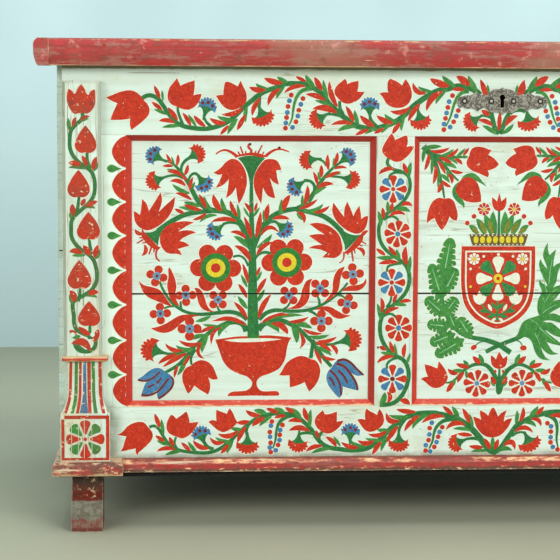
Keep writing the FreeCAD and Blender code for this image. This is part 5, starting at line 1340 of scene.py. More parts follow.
def bottom_rail_half():
    """The left half of the bottom rail, and its mirror image on the right."""
    art = Painting(0, BOTTOM_RAIL_ORIGIN, FRAME_FACE)
    art.stem([(-470, 48.6), (-464, 50.4), (-458, 47), (-452.6, 38.6), (-447, 29.6), (-439, 22),
              (-429, 17), (-417, 14.8), (-404, 13.4), (-391, 13.6), (-379, 17), (-369, 23.4),
              (-360, 30.6), (-352, 39), (-344, 46), (-337, 52), (-327, 59), (-314, 64), (-300, 66.2),
              (-286, 65.6), (-275, 63), (-266, 57), (-258, 50), (-251, 42), (-245, 32.6), (-237, 24),
              (-227, 19), (-214, 17), (-202, 15.4), (-190, 15.4), (-178, 17.4), (-168, 22.4), (-158, 31),
              (-150, 39.4), (-142, 47), (-133, 54), (-122, 60.6), (-109, 64.4), (-95, 65.4), (-82, 65)],
              4, 7.4)
    art.stem([(-433, 19), (-436.4, 27), (-434, 35)], 4, 3)
    art.stem([(-384, 18), (-392, 22), (-396, 28)], 5, 3.4)
    art.stem([(-337, 52), (-340, 43), (-338.6, 35)], 5, 3.4)
    art.stem([(-250, 39), (-260, 39.6), (-268, 38)], 5, 3.6)
    art.stem([(-243, 29), (-241.4, 36), (-236, 42)], 5.4, 4)
    art.stem([(-186, 20), (-196, 24), (-200, 31)], 4, 3)
    art.stem([(-126, 57), (-132.6, 46), (-134, 37)], 5.4, 3.6)
    art.stem([(-276, 64), (-287, 61), (-296, 53), (-299.6, 41), (-301, 29), (-304.4, 18.6)], 6.4, 2)
    art.leaves("leaf", (
        (-451, 38, -454, 59.6, 5), (-444, 24, -460, 30.6, 5), (-427, 15.6, -449, 10.6, 5.4, -0.06),
        (-407, 15, -418, 29, 5.4, 0.05), (-344, 44, -362, 47.4, 6, 0.05), (-357, 29, -382, 34.6, 5.6, 0.12),
        (-358, 30, -366, 12.4, 6.6, -0.06), (-306, 62, -322.4, 48.6, 6, -0.1),
        (-313, 66, -330, 71, 7.4, -0.03), (-288, 67, -303, 73.6, 6, -0.04),
        (-266, 58, -280.4, 73.6, 7, -0.04), (-254, 47, -253, 71.6, 6, 0.05),
        (-226, 17.4, -252.4, 11.4, 5.6, -0.08), (-213, 21, -222.6, 34.6, 4.4),
        (-178, 20, -200, 28.6, 5, 0.1), (-146, 42, -163.6, 43.4, 6.4, 0.05),
        (-155, 28.6, -179.4, 31.4, 5.4, 0.06), (-148, 34, -157.6, 13.4, 6.4, -0.08),
        (-121, 61, -148, 62.8, 6, 0.08), (-94, 62.6, -115.4, 43.6, 7.4, -0.16)))
    art.leaves("red", (
        (-455.8, 48.6, -462.8, 67, 6), (-450, 29.4, -461.8, 37.4, 5.4), (-437.6, 22.6, -443.4, 35.6, 5.6),
        (-435.6, 18, -460, 15.8, 6, -0.13), (-415, 16, -427.4, 28, 5.6),
        (-390.6, 19.4, -411.6, 30.4, 7, 0.14), (-351.6, 43, -378.4, 39.4, 7, 0.2),
        (-369.6, 28.4, -389, 34.6, 6, 0.24), (-363.6, 24.4, -374.4, 11.8, 6),
        (-340.6, 48.6, -352.4, 26.6, 6.6, -0.04), (-336, 56, -353.6, 54.4, 6.6, 0.06),
        (-315.6, 60.6, -332.4, 48.6, 7.4, -0.08), (-321.6, 64, -341, 71, 6.8, 0.12),
        (-297.6, 67.2, -313.4, 73.4, 6.2), (-276, 67.4, -288, 74.4, 6),
        (-287.4, 62.6, -302.6, 60, 5.6, -0.08), (-264.8, 54, -284.2, 55, 6, -0.14),
        (-255.6, 42, -283, 42.4, 7.6, -0.16), (-257, 56, -262.8, 74.6, 7, 0.04),
        (-243, 32.6, -246.4, 43.6, 5), (-218.6, 20.6, -233.4, 34, 6.4, -0.1),
        (-237.6, 21.2, -259.8, 13.8, 6.4, -0.12), (-188.6, 19, -212, 26.6, 6.4, 0.1),
        (-167.6, 28, -189.6, 29, 6.6, 0.18), (-150.6, 41, -175.6, 37.6, 6.2, 0.16),
        (-134.8, 47.4, -150, 25.6, 7, -0.05), (-157.6, 26.4, -169.8, 8.2, 6.4, -0.04),
        (-133.8, 55.6, -151, 66.4, 7.6, 0.32), (-111.6, 67.2, -137.6, 70.8, 6.8, 0.04),
        (-106.6, 62, -126.4, 40.2, 7, -0.08), (-72.6, 60.4, -102.8, 51.6, 7, -0.14)))
    tulip(art, (
        [(-513.6, 39, 1), (-507, 41.4), (-503, 45.6), (-498.6, 50.4), (-492, 54), (-484, 56), (-477, 55),
         (-472, 49.4), (-467.4, 44), (-465.2, 38), (-467, 31.6), (-473, 24.6), (-480, 18), (-484.6, 14),
         (-485, 9.6, 1), (-488, 14.6), (-488, 20.2, 1), (-496, 18.4), (-508.4, 15.8, 1), (-505, 22),
         (-503, 29), (-500.4, 36.4, 1), (-506, 37.4)],
        [(-441, 65.4, 1), (-437.6, 64), (-434, 59.8, 1), (-428, 64), (-420.4, 69.8, 1), (-417.4, 62),
         (-416, 54.2, 1), (-410, 55), (-404.2, 55.2, 1), (-408, 48), (-413, 41), (-419, 36), (-426, 33.2),
         (-432, 35), (-439, 37.6), (-445, 42), (-447, 49), (-445.6, 57)],
        [(-362, 73.4, 1), (-358, 67), (-355, 60), (-352.6, 54), (-358, 48), (-364, 43.6), (-371, 41.4),
         (-378, 44), (-385, 50), (-390.8, 55.2, 1), (-385.6, 57.8), (-380, 56.2, 1), (-380.6, 63),
         (-380.2, 71.8, 1), (-373.6, 69), (-366.2, 66.2, 1), (-364.4, 70.6)],
        [(-237, 70.4, 1), (-234.6, 64.8, 1), (-228, 65), (-218, 68.4, 1), (-218, 61), (-218.2, 54.2, 1),
         (-213.6, 55.2), (-208.8, 55.4, 1), (-213, 49), (-219, 43), (-226, 39), (-233, 38.6), (-241, 43),
         (-246, 48.4), (-248, 55), (-246, 61.4), (-242, 66)],
        [(-178.4, 72.4, 1), (-174, 69), (-168, 66), (-163.4, 63.2, 1), (-162.4, 67.4), (-160.4, 71.4, 1),
         (-156, 65), (-154, 57), (-155.2, 51), (-160, 45.4), (-167.6, 41.2), (-175, 40.4), (-181, 44),
         (-186, 50.4), (-190.4, 57.2, 1), (-184.6, 58), (-179.4, 56.8, 1), (-180, 64)]))
    for x, z, turn, colour, spread in ((-396, 25.4, 110, "blue", 1.05), (-338.6, 37, -88, "red", 1.25),
                                       (-269, 38.4, -95, "red", 1.1), (-200, 26.8, 89, "blue", 1.05),
                                       (-134, 38, -88, "red", 1.15)):
        art.fan(x, z, turn, 0.98, colour, spread)
    beads(art, ((-305.6, 55.4), (-307, 49.6), (-308.4, 41), (-308, 34.4), (-307.2, 26.4), (-308.4, 20),
                (-307, 13.6)), "red")
    beads(art, ((-291.4, 50.4), (-294.4, 43.6), (-295, 37), (-295.2, 30), (-297.2, 23.4), (-300.4, 16)),
          "red")
    for side, mirror in (("left", False), ("right", True)):
        art.build(f"{side}_bottom_rail_painting", mirror=mirror)


def bottom_rail_middle():
    """The stretch of the bottom rail below the middle panel."""
    art = Painting(0, BOTTOM_RAIL_ORIGIN, FRAME_FACE - 0.03)
    art.stem([(-86, 65), (-80, 64), (-66, 61), (-54, 57), (-43, 50.4), (-33, 42), (-24, 32), (-16, 21),
              (-9, 14), (0, 11)], 7.4, 8.6)
    art.stem([(-4, 11), (2, 13.6), (8, 20), (13, 27.6), (19, 36), (26, 46), (34, 52), (44, 57), (54, 61),
              (66, 64), (76, 65.4), (88, 65.6)], 7, 7)
    art.stem([(-24, 29), (-33, 30.4), (-43, 29)], 5, 3.4)
    art.stem([(21, 33), (28, 37.4), (36, 38), (40, 34)], 3.4, 3.2)
    art.stem([(-58, 57), (-73, 54.4), (-82, 47), (-86, 37), (-88, 26), (-92.4, 16.6)], 6.4, 2)
    art.stem([(66, 62.4), (75, 59), (81, 52.6), (83, 42), (82.4, 28), (84.6, 17)], 6.4, 2)
    art.leaf("leaf", (-5, 13), (-5.6, 33.6), 6)
    art.leaves("leaf", (
        (-52, 58, -61.6, 74.6, 6.6), (-33, 44, -38, 64.6, 5.6), (-36, 40.6, -60, 43.4, 5, -0.08),
        (-13, 12.6, -35, 11.8, 5, -0.07), (2, 11.6, 22, 12.8, 6.4, 0.2), (26, 49, 27.4, 68.4, 5.6, -0.04),
        (44, 58, 56.4, 74, 7, -0.04), (37, 51, 54, 45, 6, 0.2)))
    art.leaves("red", (
        (-60.6, 62.8, -74.4, 75, 6.2), (-37.6, 51.6, -47.4, 71.6, 6.8, -0.03),
        (-43.6, 48.6, -70, 42.2, 7.2, -0.22), (-33.6, 34.6, -54.4, 36.8, 5.8),
        (-18.6, 18.2, -38, 20, 6, 0.05), (-8.4, 15.6, -17.2, 30.4, 6.8), (-2, 15, 2.2, 29.4, 6.2),
        (10, 20, 25.4, 14, 7.6, 0.5), (25, 39, 50, 37.4, 6.4, 0.26), (47, 56, 60.6, 46, 6, 0.28),
        (31, 53, 35.4, 73, 6.4, -0.12), (54, 62, 64.4, 73.4, 6)))
    art.fan(-42, 29, 202, 0.98, "red", 1.0)
    art.fan(39.4, 35.4, -63, 0.98, "red", 1.3)
    beads(art, ((-89, 52), (-91.8, 44.8), (-92.2, 36.2), (-93.2, 28.4), (-96.8, 21.4), (-97, 14)), "blue")
    beads(art, ((-74.6, 46), (-78.2, 39.4), (-80.2, 32.8), (-82.2, 25.6), (-85.2, 19), (-90.8, 12.8)), "red")
    beads(art, ((69.4, 50.4), (74.4, 46), (74.4, 38.8), (74.2, 31), (74.2, 24), (77.4, 17.6), (84, 14)),
          "red")
    beads(art, ((89, 52), (91.4, 44.8), (91.2, 36.2), (91.2, 28.4), (94, 21.4), (97, 14)), "blue")
    art.shape("red", [(-32.8, 60.2, 1), (-28, 58.8), (-21.4, 55.8, 1), (-23, 62), (-23.6, 68.6, 1),
                      (-17, 65.6), (-12, 60.8, 1), (-9.8, 67), (-5.6, 72.4), (-2, 68), (1.4, 59.8, 1),
                      (6, 65), (13.2, 68.2, 1), (10.6, 61), (9.4, 52.8, 1), (15, 56.6), (20.8, 57.2, 1),
                      (17, 48), (12, 41), (6, 35), (-1, 32), (-8, 31.4), (-15, 33), (-22, 38), (-28, 46),
                      (-31, 54)])
    art.build("middle_bottom_rail_painting")


top_rail_half()
top_rail_middle()
bottom_rail_half()
bottom_rail_middle()


# The muntins: a winding stem with a tulip on top and eight-petalled rosettes

def rosette(art, x, z, reach, colours, eye, eye_radius, width=9.6, turn=90.0, inner=4.6):
    """Drop-shaped petals, narrow at the middle, in turn of the given colours."""
    for k in range(8):
        a = radians(turn + 45 * k)
        u, v = Vector((cos(a), sin(a))), Vector((-sin(a), cos(a)))
        drop = []
        for along, across in ((inner, 0.1), (reach * 0.55, 0.30), (reach * 0.78, 0.5), (reach * 0.93, 0.42),
                              (reach, 0.0), (reach * 0.93, -0.42), (reach * 0.78, -0.5),
                              (reach * 0.55, -0.30),
                              (inner, -0.1)):
            p = Vector((x, z)) + u * along + v * across * width
            drop.append((p.x, p.y))
        art.shape(colours[k % len(colours)], drop, 0.9)
    art.disc(eye, x, z, eye_radius)


def muntin_field():
    """The stem on each muntin."""
    middle = middle_of("left_muntin")
    art = Painting(middle, OPENING_BOTTOM, FRAME_FACE)
    art.stem([(-18, 1), (-6, 1.6), (3, 4.6), (9, 10), (14.6, 18), (19.4, 30), (21, 42), (18.6, 54),
              (12.6, 62.6), (4, 67), (-5, 73), (-12, 82), (-17, 93), (-18.6, 105), (-17.4, 116),
              (-12.6, 127), (-3, 134.6), (8, 144), (16, 154), (20, 166), (19.8, 178), (15.6, 189),
              (8, 196), (-3, 203.6), (-12.6, 211.6), (-19, 221.6), (-21.4, 232), (-21, 243), (-16.6, 253),
              (-8, 261), (2.6, 267.6), (12, 276.6), (18.6, 288), (19.8, 300), (16.6, 309.6), (8, 315),
              (-2, 317.6), (-8.6, 322), (-11, 328), (-7.6, 335)], 6, 4.4)
    art.stem([(6, 65), (-3, 62), (-8.6, 56), (-8, 50)], 4, 3)
    art.stem([(-15, 121), (-6, 124.6), (1, 121.6), (4.6, 116)], 4, 3)
    art.stem([(9, 192.6), (-1, 191), (-8.4, 188), (-10, 181)], 4, 3)
    art.stem([(-15, 251), (-5, 255.4), (3, 252), (4.6, 246)], 4, 3)
    art.stem([(9, 313.6), (-1, 313.6), (-7.6, 309.6), (-8, 304)], 4, 3)
    art.stem([(-10, 133), (-5, 141), (-3.6, 149)], 4, 2.6)
    art.leaves("leaf", (
        (-17, 0, -11, 18.4, 8, -0.08), (3, 70, -17.6, 72.6, 5.6, 0.05), (5, 68, 1.6, 84.4, 4.6, 0.06),
        (18, 56, 23, 71.6, 4), (-18, 116, -22.8, 138.4, 6, -0.05), (-1, 137, 17.4, 135.6, 5.6, 0.06),
        (1, 201, -24.6, 200.6, 6, 0.05), (6.4, 194, 2.4, 211.6, 6.4), (19.6, 178, 22, 202.4, 6, 0.03),
        (-18.6, 243, -22.8, 262.4, 6.4, -0.05), (1, 265, 20.8, 261.4, 6.4, 0.12), (-9, 259, -10.2, 276, 5),
        (17.6, 306, 21, 327.6, 6.6, 0.04)))
    art.leaves("red", (
        (-7.4, 4.4, -8.4, 18.8, 6.4, -0.28), (9.8, 6.6, 23, 0.4, 8, 0.16), (14.4, 65.4, 16.6, 84.4, 6, 0.08),
        (1.4, 71.6, -5.2, 87.8, 5.8, 0.05), (-10, 75.6, -19.4, 80.6, 5.6),
        (0.6, 66.4, -22.4, 57.4, 6.2, -0.14), (-16.6, 126.6, -18.2, 147, 6, -0.1),
        (-12.4, 124.6, 7.4, 132.4, 5.6, 0.1), (-1.4, 139.6, 4.2, 152, 5), (8.6, 140, 24, 141.4, 5.4, 0.1),
        (4.6, 194, -21.6, 191.8, 6.4, -0.05), (-12.6, 203.4, -25, 212.4, 5.6),
        (2.8, 203.4, -8.4, 215.8, 5.8, 0.04), (17, 190.4, 15.6, 215.6, 8, 0.1),
        (-15.8, 252.6, -17.4, 267.4, 5.6, -0.05), (-7.2, 255.8, 14.4, 257.2, 5.8, 0.2),
        (-5.6, 262.6, -3.4, 273.6, 5.6), (8.6, 269.6, 23.4, 268.6, 6, 0.24),
        (-1.4, 318.4, -22.8, 310.6, 6.2, -0.16), (16.2, 313, 10.4, 327, 6.2, 0.04)))
    art.disc("dark", -21, 79, 1.5)
    art.shape("red", [(-6, 365.6, 1), (-10, 360.6), (-14, 354), (-17.6, 347), (-18, 341.6), (-14, 335.6),
                      (-7.4, 331.6), (-3, 328.8), (3, 328), (9, 329.8), (15, 334.6), (20.6, 341),
                      (24.8, 348.4, 1), (20, 349), (14.6, 347.6, 1), (16, 354), (15.4, 361.4),
                      (13.6, 363.2, 1), (7, 360.6), (-1.2, 356.8, 1), (-2.4, 361.4)])
    both = ("red", "blue")
    rosette(art, -1, 36.2, 19.6, both, "dark", 3.2)
    rosette(art, 6.6, 105.2, 18.2, ("red",), "blue", 3.6)
    rosette(art, -3.4, 166.6, 18.6, both, "dot", 3.0)
    rosette(art, 4, 231.8, 18.2, ("red",), "blue", 3.4, turn=84)
    rosette(art, -2.8, 291.6, 18.6, both, "dot", 2.8)
    art.build_pair("muntin_painting")


muntin_field()


# The stiles: a column of half discs with a green drop in each valley between them

def half_disc(art, bottom, top, depth, x=0.0):
    """A red half disc that bulges to the left of an upright line."""
    for kind, rim in (("halo", 0.9), ("red", 0.0)):
        side = []
        for share, out in ((0.0, 0.0), (0.06, 0.34), (0.17, 0.64), (0.32, 0.88), (0.5, 1.0), (0.68, 0.88),
                           (0.83, 0.64), (0.94, 0.34), (1.0, 0.0)):
            z = bottom - rim + share * (top - bottom + 2 * rim)
            side.append((x - out * (depth + rim), z) + ((1,) if out == 0 else ()))
        art.shape(kind, side, 0.0)


def drop(art, kind, base, tip, width):
    """A leaf that is widest and round near its base and runs out to a point."""
    b, t = Vector(base), Vector(tip)
    u = (t - b).normalized()
    v = Vector((-u.y, u.x))
    length = (t - b).length
    line = []
    for along, across in ((0.0, 0.0), (0.05, 0.26), (0.2, 0.46), (0.38, 0.48), (0.62, 0.26), (0.85, 0.08),
                          (1.0, 0.0), (0.85, -0.08), (0.62, -0.26), (0.38, -0.48), (0.2, -0.46),
                          (0.05, -0.26)):
        p = b + u * along * length + v * across * width
        line.append((p.x, p.y) + ((1,) if along == 1.0 else ()))
    art.shape(kind, line, 0.8)


DISC_ENDS = (76.6, 120, 166, 213.5, 259.5, 305.5, 350, 394, 438)


def stile_field():
    """The column on each stile."""
    right = high("left_stile")[0]
    art = Painting(right, low("front_bottom_rail")[2], FRAME_FACE)
    for bottom, top in zip(DISC_ENDS, DISC_ENDS[1:]):
        half_disc(art, bottom + 1.1, top - 1.1, 18.2, -0.02)
    for place, length in ((90, 9), (103, 4), (110, 13), (129, 6), (138, 11), (153, 3), (171, 16),
                          (192, 5), (206, 4), (228, 8), (240, 3), (262, 6), (281, 11), (296, 4), (316, 7),
                          (337, 3), (362, 12), (380, 5), (404, 7), (423, 4)):
        art.leaf("cream", (-1.6, place), (-1.4, place + length * 0.6), 0.5)
    for place in DISC_ENDS[1:-1]:
        drop(art, "leaf", (-24.6, place), (-4.8, place - 0.4), 10.4)
    art.build_pair("stile_painting")


# The half pilasters: a winding stem with heart-shaped buds to either side

def bud(art, x, z, width, height):
    """A broad bud, pointed on top, on the end of its stalk."""
    w, h = width / 2, height
    art.shape("red", [(x, z + h, 1), (x - w * 0.30, z + h * 0.86), (x - w * 0.72, z + h * 0.60),
                      (x - w, z + h * 0.32), (x - w * 0.88, z + h * 0.12), (x - w * 0.45, z),
                      (x, z + h * 0.02),
                      (x + w * 0.45, z), (x + w * 0.9, z + h * 0.13), (x + w, z + h * 0.34),
                      (x + w * 0.72, z + h * 0.62), (x + w * 0.30, z + h * 0.86)])


def pilaster_field():
    """The stem on each half pilaster."""
    middle = middle_of("left_pilaster")
    art = Painting(middle, 0.0, PILASTER_FACE)
    art.stem([(-9.6, 252.6), (-6.6, 246.6), (-1, 242.6), (6, 241.4), (13, 244), (17, 251), (15.6, 258),
              (9, 262), (0, 265.6), (-8, 271), (-11, 279), (-11.4, 290), (-12.8, 300), (-12, 307),
              (-6, 311.6), (3, 316.6), (12, 323), (18, 333), (19.2, 344), (17.6, 354), (15, 362),
              (8, 370), (-1, 376), (-9, 384), (-13.6, 393), (-14.2, 404), (-13.4, 414), (-8, 421.6),
              (0, 429), (9, 437), (15, 446), (17, 457), (16.4, 468), (13, 477.6), (5, 484.6), (-3, 490),
              (-11, 499), (-15, 509), (-15.2, 521), (-13.6, 531), (-8, 538.6), (-1, 544.6), (1.6, 549.6),
              (1, 555)], 5.4, 5)
    for line in (((9, 258), (9.4, 266), (9.6, 276)), ((-6, 308), (-3.6, 316), (-3, 326)),
                 ((13, 370), (10.4, 380), (9.4, 392)), ((-7, 423), (-5, 434), (-3.6, 447)),
                 ((12, 482), (7.6, 492), (7.4, 504))):
        art.stem(line, 5, 3.6)
    for x, z, width, height in ((8.6, 275.4, 29, 33), (-3.8, 324.6, 31, 38), (8.4, 389.6, 30, 36),
                                (-4.2, 444.6, 29, 36), (5.2, 502.6, 28, 36)):
        bud(art, x, z, width, height)
    art.shape("red", [(0, 591.6, 1), (-4.4, 586.6), (-7.4, 580), (-9.6, 579, 1), (-12, 583),
                      (-16.4, 585.8, 1), (-18.6, 578), (-18.4, 569), (-15, 560.4), (-10, 553.8),
                      (-4, 553.4), (2, 554.4), (8, 553.8), (14, 558.6), (17.8, 566.6), (18.2, 576),
                      (17.8, 584.6, 1), (13, 583.2), (9.6, 577.6, 1), (6.6, 579.6), (4.2, 586)])
    art.leaves("stem", ((-12, 255, 8.6, 240.8, 8.6, -0.16),))
    art.leaves("leaf", (
        (-3, 262, -13.6, 259.6, 5.6), (17.6, 254, 19.4, 266, 4.6), (2, 315, 19.6, 312.4, 5.2, 0.16),
        (-12.6, 304, -16.8, 317.6, 5.6), (4, 368.6, -13.4, 368, 5, -0.05), (17, 364, 22.4, 377, 5.4, -0.1),
        (1, 431, 17.6, 430, 5.4, 0.16), (-14.6, 417, -14.6, 426.4, 5), (7, 481.6, -17.2, 483.4, 5.4, -0.08),
        (15.6, 479, 19.4, 492, 5, -0.1), (-14.4, 531, -17, 548, 5.6, 0.04), (-3, 543, 9.8, 547.4, 4.4, 0.06)))
    art.leaves("red", (
        (9.6, 243, -15, 251.6, 10.4, -0.28), (9.6, 264, -5.6, 274.6, 7.6, 0.06),
        (14, 254.6, 20.8, 271.6, 8.4, -0.04), (-7.4, 264.6, -17.4, 269.6, 6.6, 0.04),
        (-10.6, 307.4, -16.8, 322.4, 9, -0.14), (8, 317, 21.4, 319.4, 7.4, 0.14),
        (0, 371, -16.8, 373.2, 7.4, -0.14), (10, 368.6, 1, 382, 7.6, -0.04), (16, 366, 20.6, 382.6, 7.4),
        (-11.4, 421, -12.6, 436.4, 8), (-1, 434, 4.6, 443.2, 6.2), (5, 432.6, 20.6, 439.6, 7, 0.04),
        (-1, 486.6, -17.6, 489.6, 7.4, -0.06), (7.4, 485.6, 0.2, 499.2, 6.4, -0.02),
        (14.6, 480.6, 19.6, 497.8, 7, 0.04), (-11.4, 537, -7.4, 549.4, 5.4), (-1, 545, 11, 550, 4.4, 0.14)))
    art.build_pair("pilaster_painting")


stile_field()
pilaster_field()


# The plinth blocks: stripes that follow the flare, and a framed rosette below them

def plinth_field():
    """The stripes and the rosette on each plinth block."""
    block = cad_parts["left_plinth_block"]
    tree = BVHTree.FromPolygons([v.co for v in block.data.vertices],
                                [p.vertices[:] for p in block.data.polygons])
    middle = middle_of("left_plinth_block")
    block_top = PLINTH_TOP - (PLINTH_TOP - low("left_plinth_block")[2]) * 0.52

    def settle(x, z):
        hit = tree.ray_cast(Vector((-abs(x) * MM, -0.5, z * MM)), Vector((0, 1, 0)))[0]
        return hit.y / MM if hit else low("left_plinth_block")[1]

    art = Painting(middle, 0.0, low("left_plinth_block")[1])
    top, bottom, bend = PLINTH_TOP - 0.8, block_top + 0.4, block_top + 29.0
    for kind, x_top, x_low, wide_top, wide_low in (
            ("red", -18.6, -26.6, 3.6, 4.6), ("leaf", -11.4, -17.2, 4.2, 4.4), ("red", -6.2, -10.4, 3.4, 4.2),
            ("blue", -0.6, -1.6, 3.6, 11.6), ("red", 5.0, 6.4, 4.6, 4.2), ("leaf", 10.6, 14.2, 4.0, 5.0),
            ("red", 19.4, 24.6, 4.4, 4.2)):
        left, right = [], []
        for k in range(25):
            z = top + (bottom - top) * k / 24
            share = 0.12 * (top - z) / (top - bend)
            if z <= bend:
                share = 0.12 + 0.88 * ((bend - z) / (bend - bottom)) ** 1.7
            x = x_top + (x_low - x_top) * share
            half = (wide_top + (wide_low - wide_top) * share) / 2
            left.append(Vector((x - half, z)))
            right.append(Vector((x + half, z)))
        art.put(kind, left + right[::-1], strip=True)
    for x0, x1, z0, z1 in ((-31.4, -27.4, 97, 152), (27.2, 31.6, 97, 157), (-27.4, 27.2, 152.4, 157),
                           (-27.4, 27.2, 97, 100.4)):
        art.put("red", [Vector(p) for p in ((x0, z0), (x1, z0), (x1, z1), (x0, z1))])
    rosette(art, 0, 125.4, 25.4, ("red", "leaf"), "dot", 2.4, width=13.6, inner=6.6)
    for x, z0, z1 in ((-18.6, 101, 150), (-9.4, 103, 152), (-1.6, 100, 152), (8.2, 98, 146)):
        art.stem([(x, z0), (x + 0.6, (z0 + z1) / 2), (x, z1)], 0.9, 0.7, "cream")
    art.build_pair("plinth_painting", settle=settle)


plinth_field()


# The middle panel: corner sprays, an oak and a laurel branch, a bouquet, and a painted medallion

def corner_spray(art):
    """The spray that hangs in an upper corner of the middle panel."""
    art.stem([(-103.6, 348.6), (-98, 342), (-91, 337), (-82, 335), (-70, 334), (-56, 334.4),
              (-44, 334.4)], 8.4, 2.4)
    art.stem([(-97, 342), (-90, 331), (-86, 322), (-82.6, 312), (-79.6, 302), (-77, 293), (-74.6, 279)],
             8.4, 2.2)
    art.stem([(-93, 338), (-84, 331), (-77, 325), (-71, 318), (-65, 311), (-55.6, 302.6)], 7.4, 2.4)
    art.leaves("leaf", (
        (-104, 345, -78.6, 348.4, 6, 0.05), (-101.4, 347, -104.6, 327, 5, -0.02),
        (-92, 334, -92.4, 311, 4.4, 0.02), (-80, 336.6, -62.6, 345.2, 4.8, -0.12),
        (-60, 334, -46.8, 346.4, 4.4, -0.04), (-52, 334.6, -43, 334.6, 4),
        (-70, 332.4, -57, 324.6, 4, 0.1), (-78, 326, -58.4, 319.2, 6, 0.1), (-71, 318, -69.6, 306, 4),
        (-80.6, 311, -67.4, 299.8, 5.4, 0.08), (-82, 314, -83.4, 292.8, 4)))
    art.leaves("red", (
        (-94, 343, -68, 347.4, 5.6, -0.13), (-96.6, 338.4, -102.2, 316.2, 5.6, 0.07),
        (-87.4, 323, -90.4, 298, 5.8, 0.08), (-84, 329.4, -73.4, 311, 5, 0.04),
        (-82, 333.6, -64.4, 325.6, 5.4, 0.05), (-72, 334.6, -56.4, 346.8, 5, -0.1),
        (-49.8, 336.6, -42, 347, 4.4), (-61, 331.8, -51, 324, 5, 0.12),
        (-66.4, 317, -49.2, 313.8, 5, -0.08), (-69.6, 311.8, -65, 298.4, 5.4, 0.18),
        (-77.6, 303, -65.4, 294.4, 5, -0.1), (-78.4, 300, -83.8, 286.2, 6, 0.04)))
    art.shape("red", [(-11.6, 344, 1), (-16, 337.6, 1), (-9, 333.6), (-4.4, 329), (-1.4, 325, 1),
                      (-5.4, 320.6), (-11, 318), (-16.6, 316.6, 1), (-14.6, 312), (-16.2, 307.4, 1),
                      (-22, 310), (-30, 313.4), (-37.6, 316.4), (-43, 321), (-45.2, 325.6), (-44.4, 331),
                      (-41.8, 336), (-40.8, 341.4), (-37.6, 346.2), (-30.6, 348.4), (-22, 347.4),
                      (-16.6, 345.2)])
    art.shape("red", [(-98, 245.6, 1), (-91.6, 250.6), (-87.4, 252.6, 1), (-84.4, 245.6), (-80.4, 239.4),
                      (-77, 236.4, 1), (-72.4, 242.6), (-69.4, 248.6), (-67, 254.8, 1), (-63.6, 250.8),
                      (-57.6, 249, 1), (-56.2, 257), (-58.6, 267.6), (-62, 275.6), (-68, 279.4),
                      (-74.6, 278.6), (-81.6, 279.8), (-88.6, 276.4), (-94, 268.4), (-97, 257.4)])
    art.shape("red", [(-24.6, 275, 1), (-32, 273.6), (-40, 274), (-48, 276.6), (-55, 282), (-59.4, 290),
                      (-57.6, 297), (-52, 304), (-44, 307.6), (-36, 305.6), (-30, 299.4), (-26, 288)])
    art.shape("leaf", [(-52.6, 302.6, 1), (-49.3, 309), (-42.9, 312.4), (-35.6, 313), (-28.4, 308),
                       (-23.8, 302.4), (-17.2, 295, 1), (-24.6, 299), (-30, 302), (-36, 304), (-44, 304)])
    art.shape("leaf", [(-55, 301.4, 1), (-61, 296.4), (-64, 289), (-62.6, 281.6), (-58.4, 276), (-53, 271.4),
                       (-49.4, 268.8), (-48.2, 265, 1), (-47, 271), (-49.6, 277), (-53, 283), (-54, 292)])
    return art


def lobed(art, base, tip, width, lobes):
    """An oak leaf: round lobes down both sides and one on the end."""
    b, t = Vector(base), Vector(tip)
    u = (t - b).normalized()
    v = Vector((-u.y, u.x))
    length = (t - b).length
    left = []
    for k in range(lobes):
        start = 0.10 + 0.80 * k / lobes
        middle = start + 0.40 / lobes
        end = start + 0.76 / lobes
        full = (0.66, 0.92, 1.0, 0.86, 0.72)[k % 5]
        for along, across in ((start, 0.52 * full), (start + 0.12 / lobes, 0.92 * full), (middle, full),
                              (end, 0.84 * full)):
            left.append((along, across))
    outline = [(0.0, 0.08)] + left + [(0.97, 0.34), (1.0, 0.0)]
    ring = [b + u * a * length + v * c * width / 2 for a, c in outline]
    ring += [b + u * a * length - v * c * width / 2 for a, c in reversed(outline[:-1])]
    art.shape("leaf", [(p.x, p.y) for p in ring], 0.9)
    art.stem([tuple(b + u * length * 0.3), tuple(b + u * length * 0.86)], 1.5, 0.7, "vein")


def oak_branch(art):
    """The oak branch on the left of the medallion."""
    art.stem([(19, 70), (12, 74.6), (3, 80.6), (-8, 85), (-20, 88.4), (-32, 90.4), (-44, 94), (-55, 101),
              (-64, 111), (-70, 122), (-74, 136), (-76, 150), (-75.6, 166), (-74, 182)], 7.4, 3)
    for base, tip, width in (((-45, 89), (-84, 66), 25), ((-57, 96), (-91.6, 83), 22),
                             ((-64, 106), (-95.6, 109), 22),
                             ((-35, 90), (-53, 118), 23), ((-56, 100), (-66, 124), 20),
                             ((-70, 120), (-98, 145), 24),
                             ((-71, 124), (-56, 145), 23), ((-75, 140), (-91.6, 191), 25),
                             ((-74, 150), (-57, 185), 22),
                             ((-75, 168), (-65, 226), 27)):
        lobed(art, base, tip, width, 6 if width > 24 else 5)
    art.disc("red", -31.6, 77.4, 4.4, halo=0.9, squeeze=0.72, turn=36)
    art.stem([(-16, 86), (-24, 84), (-29, 80)], 1.6)


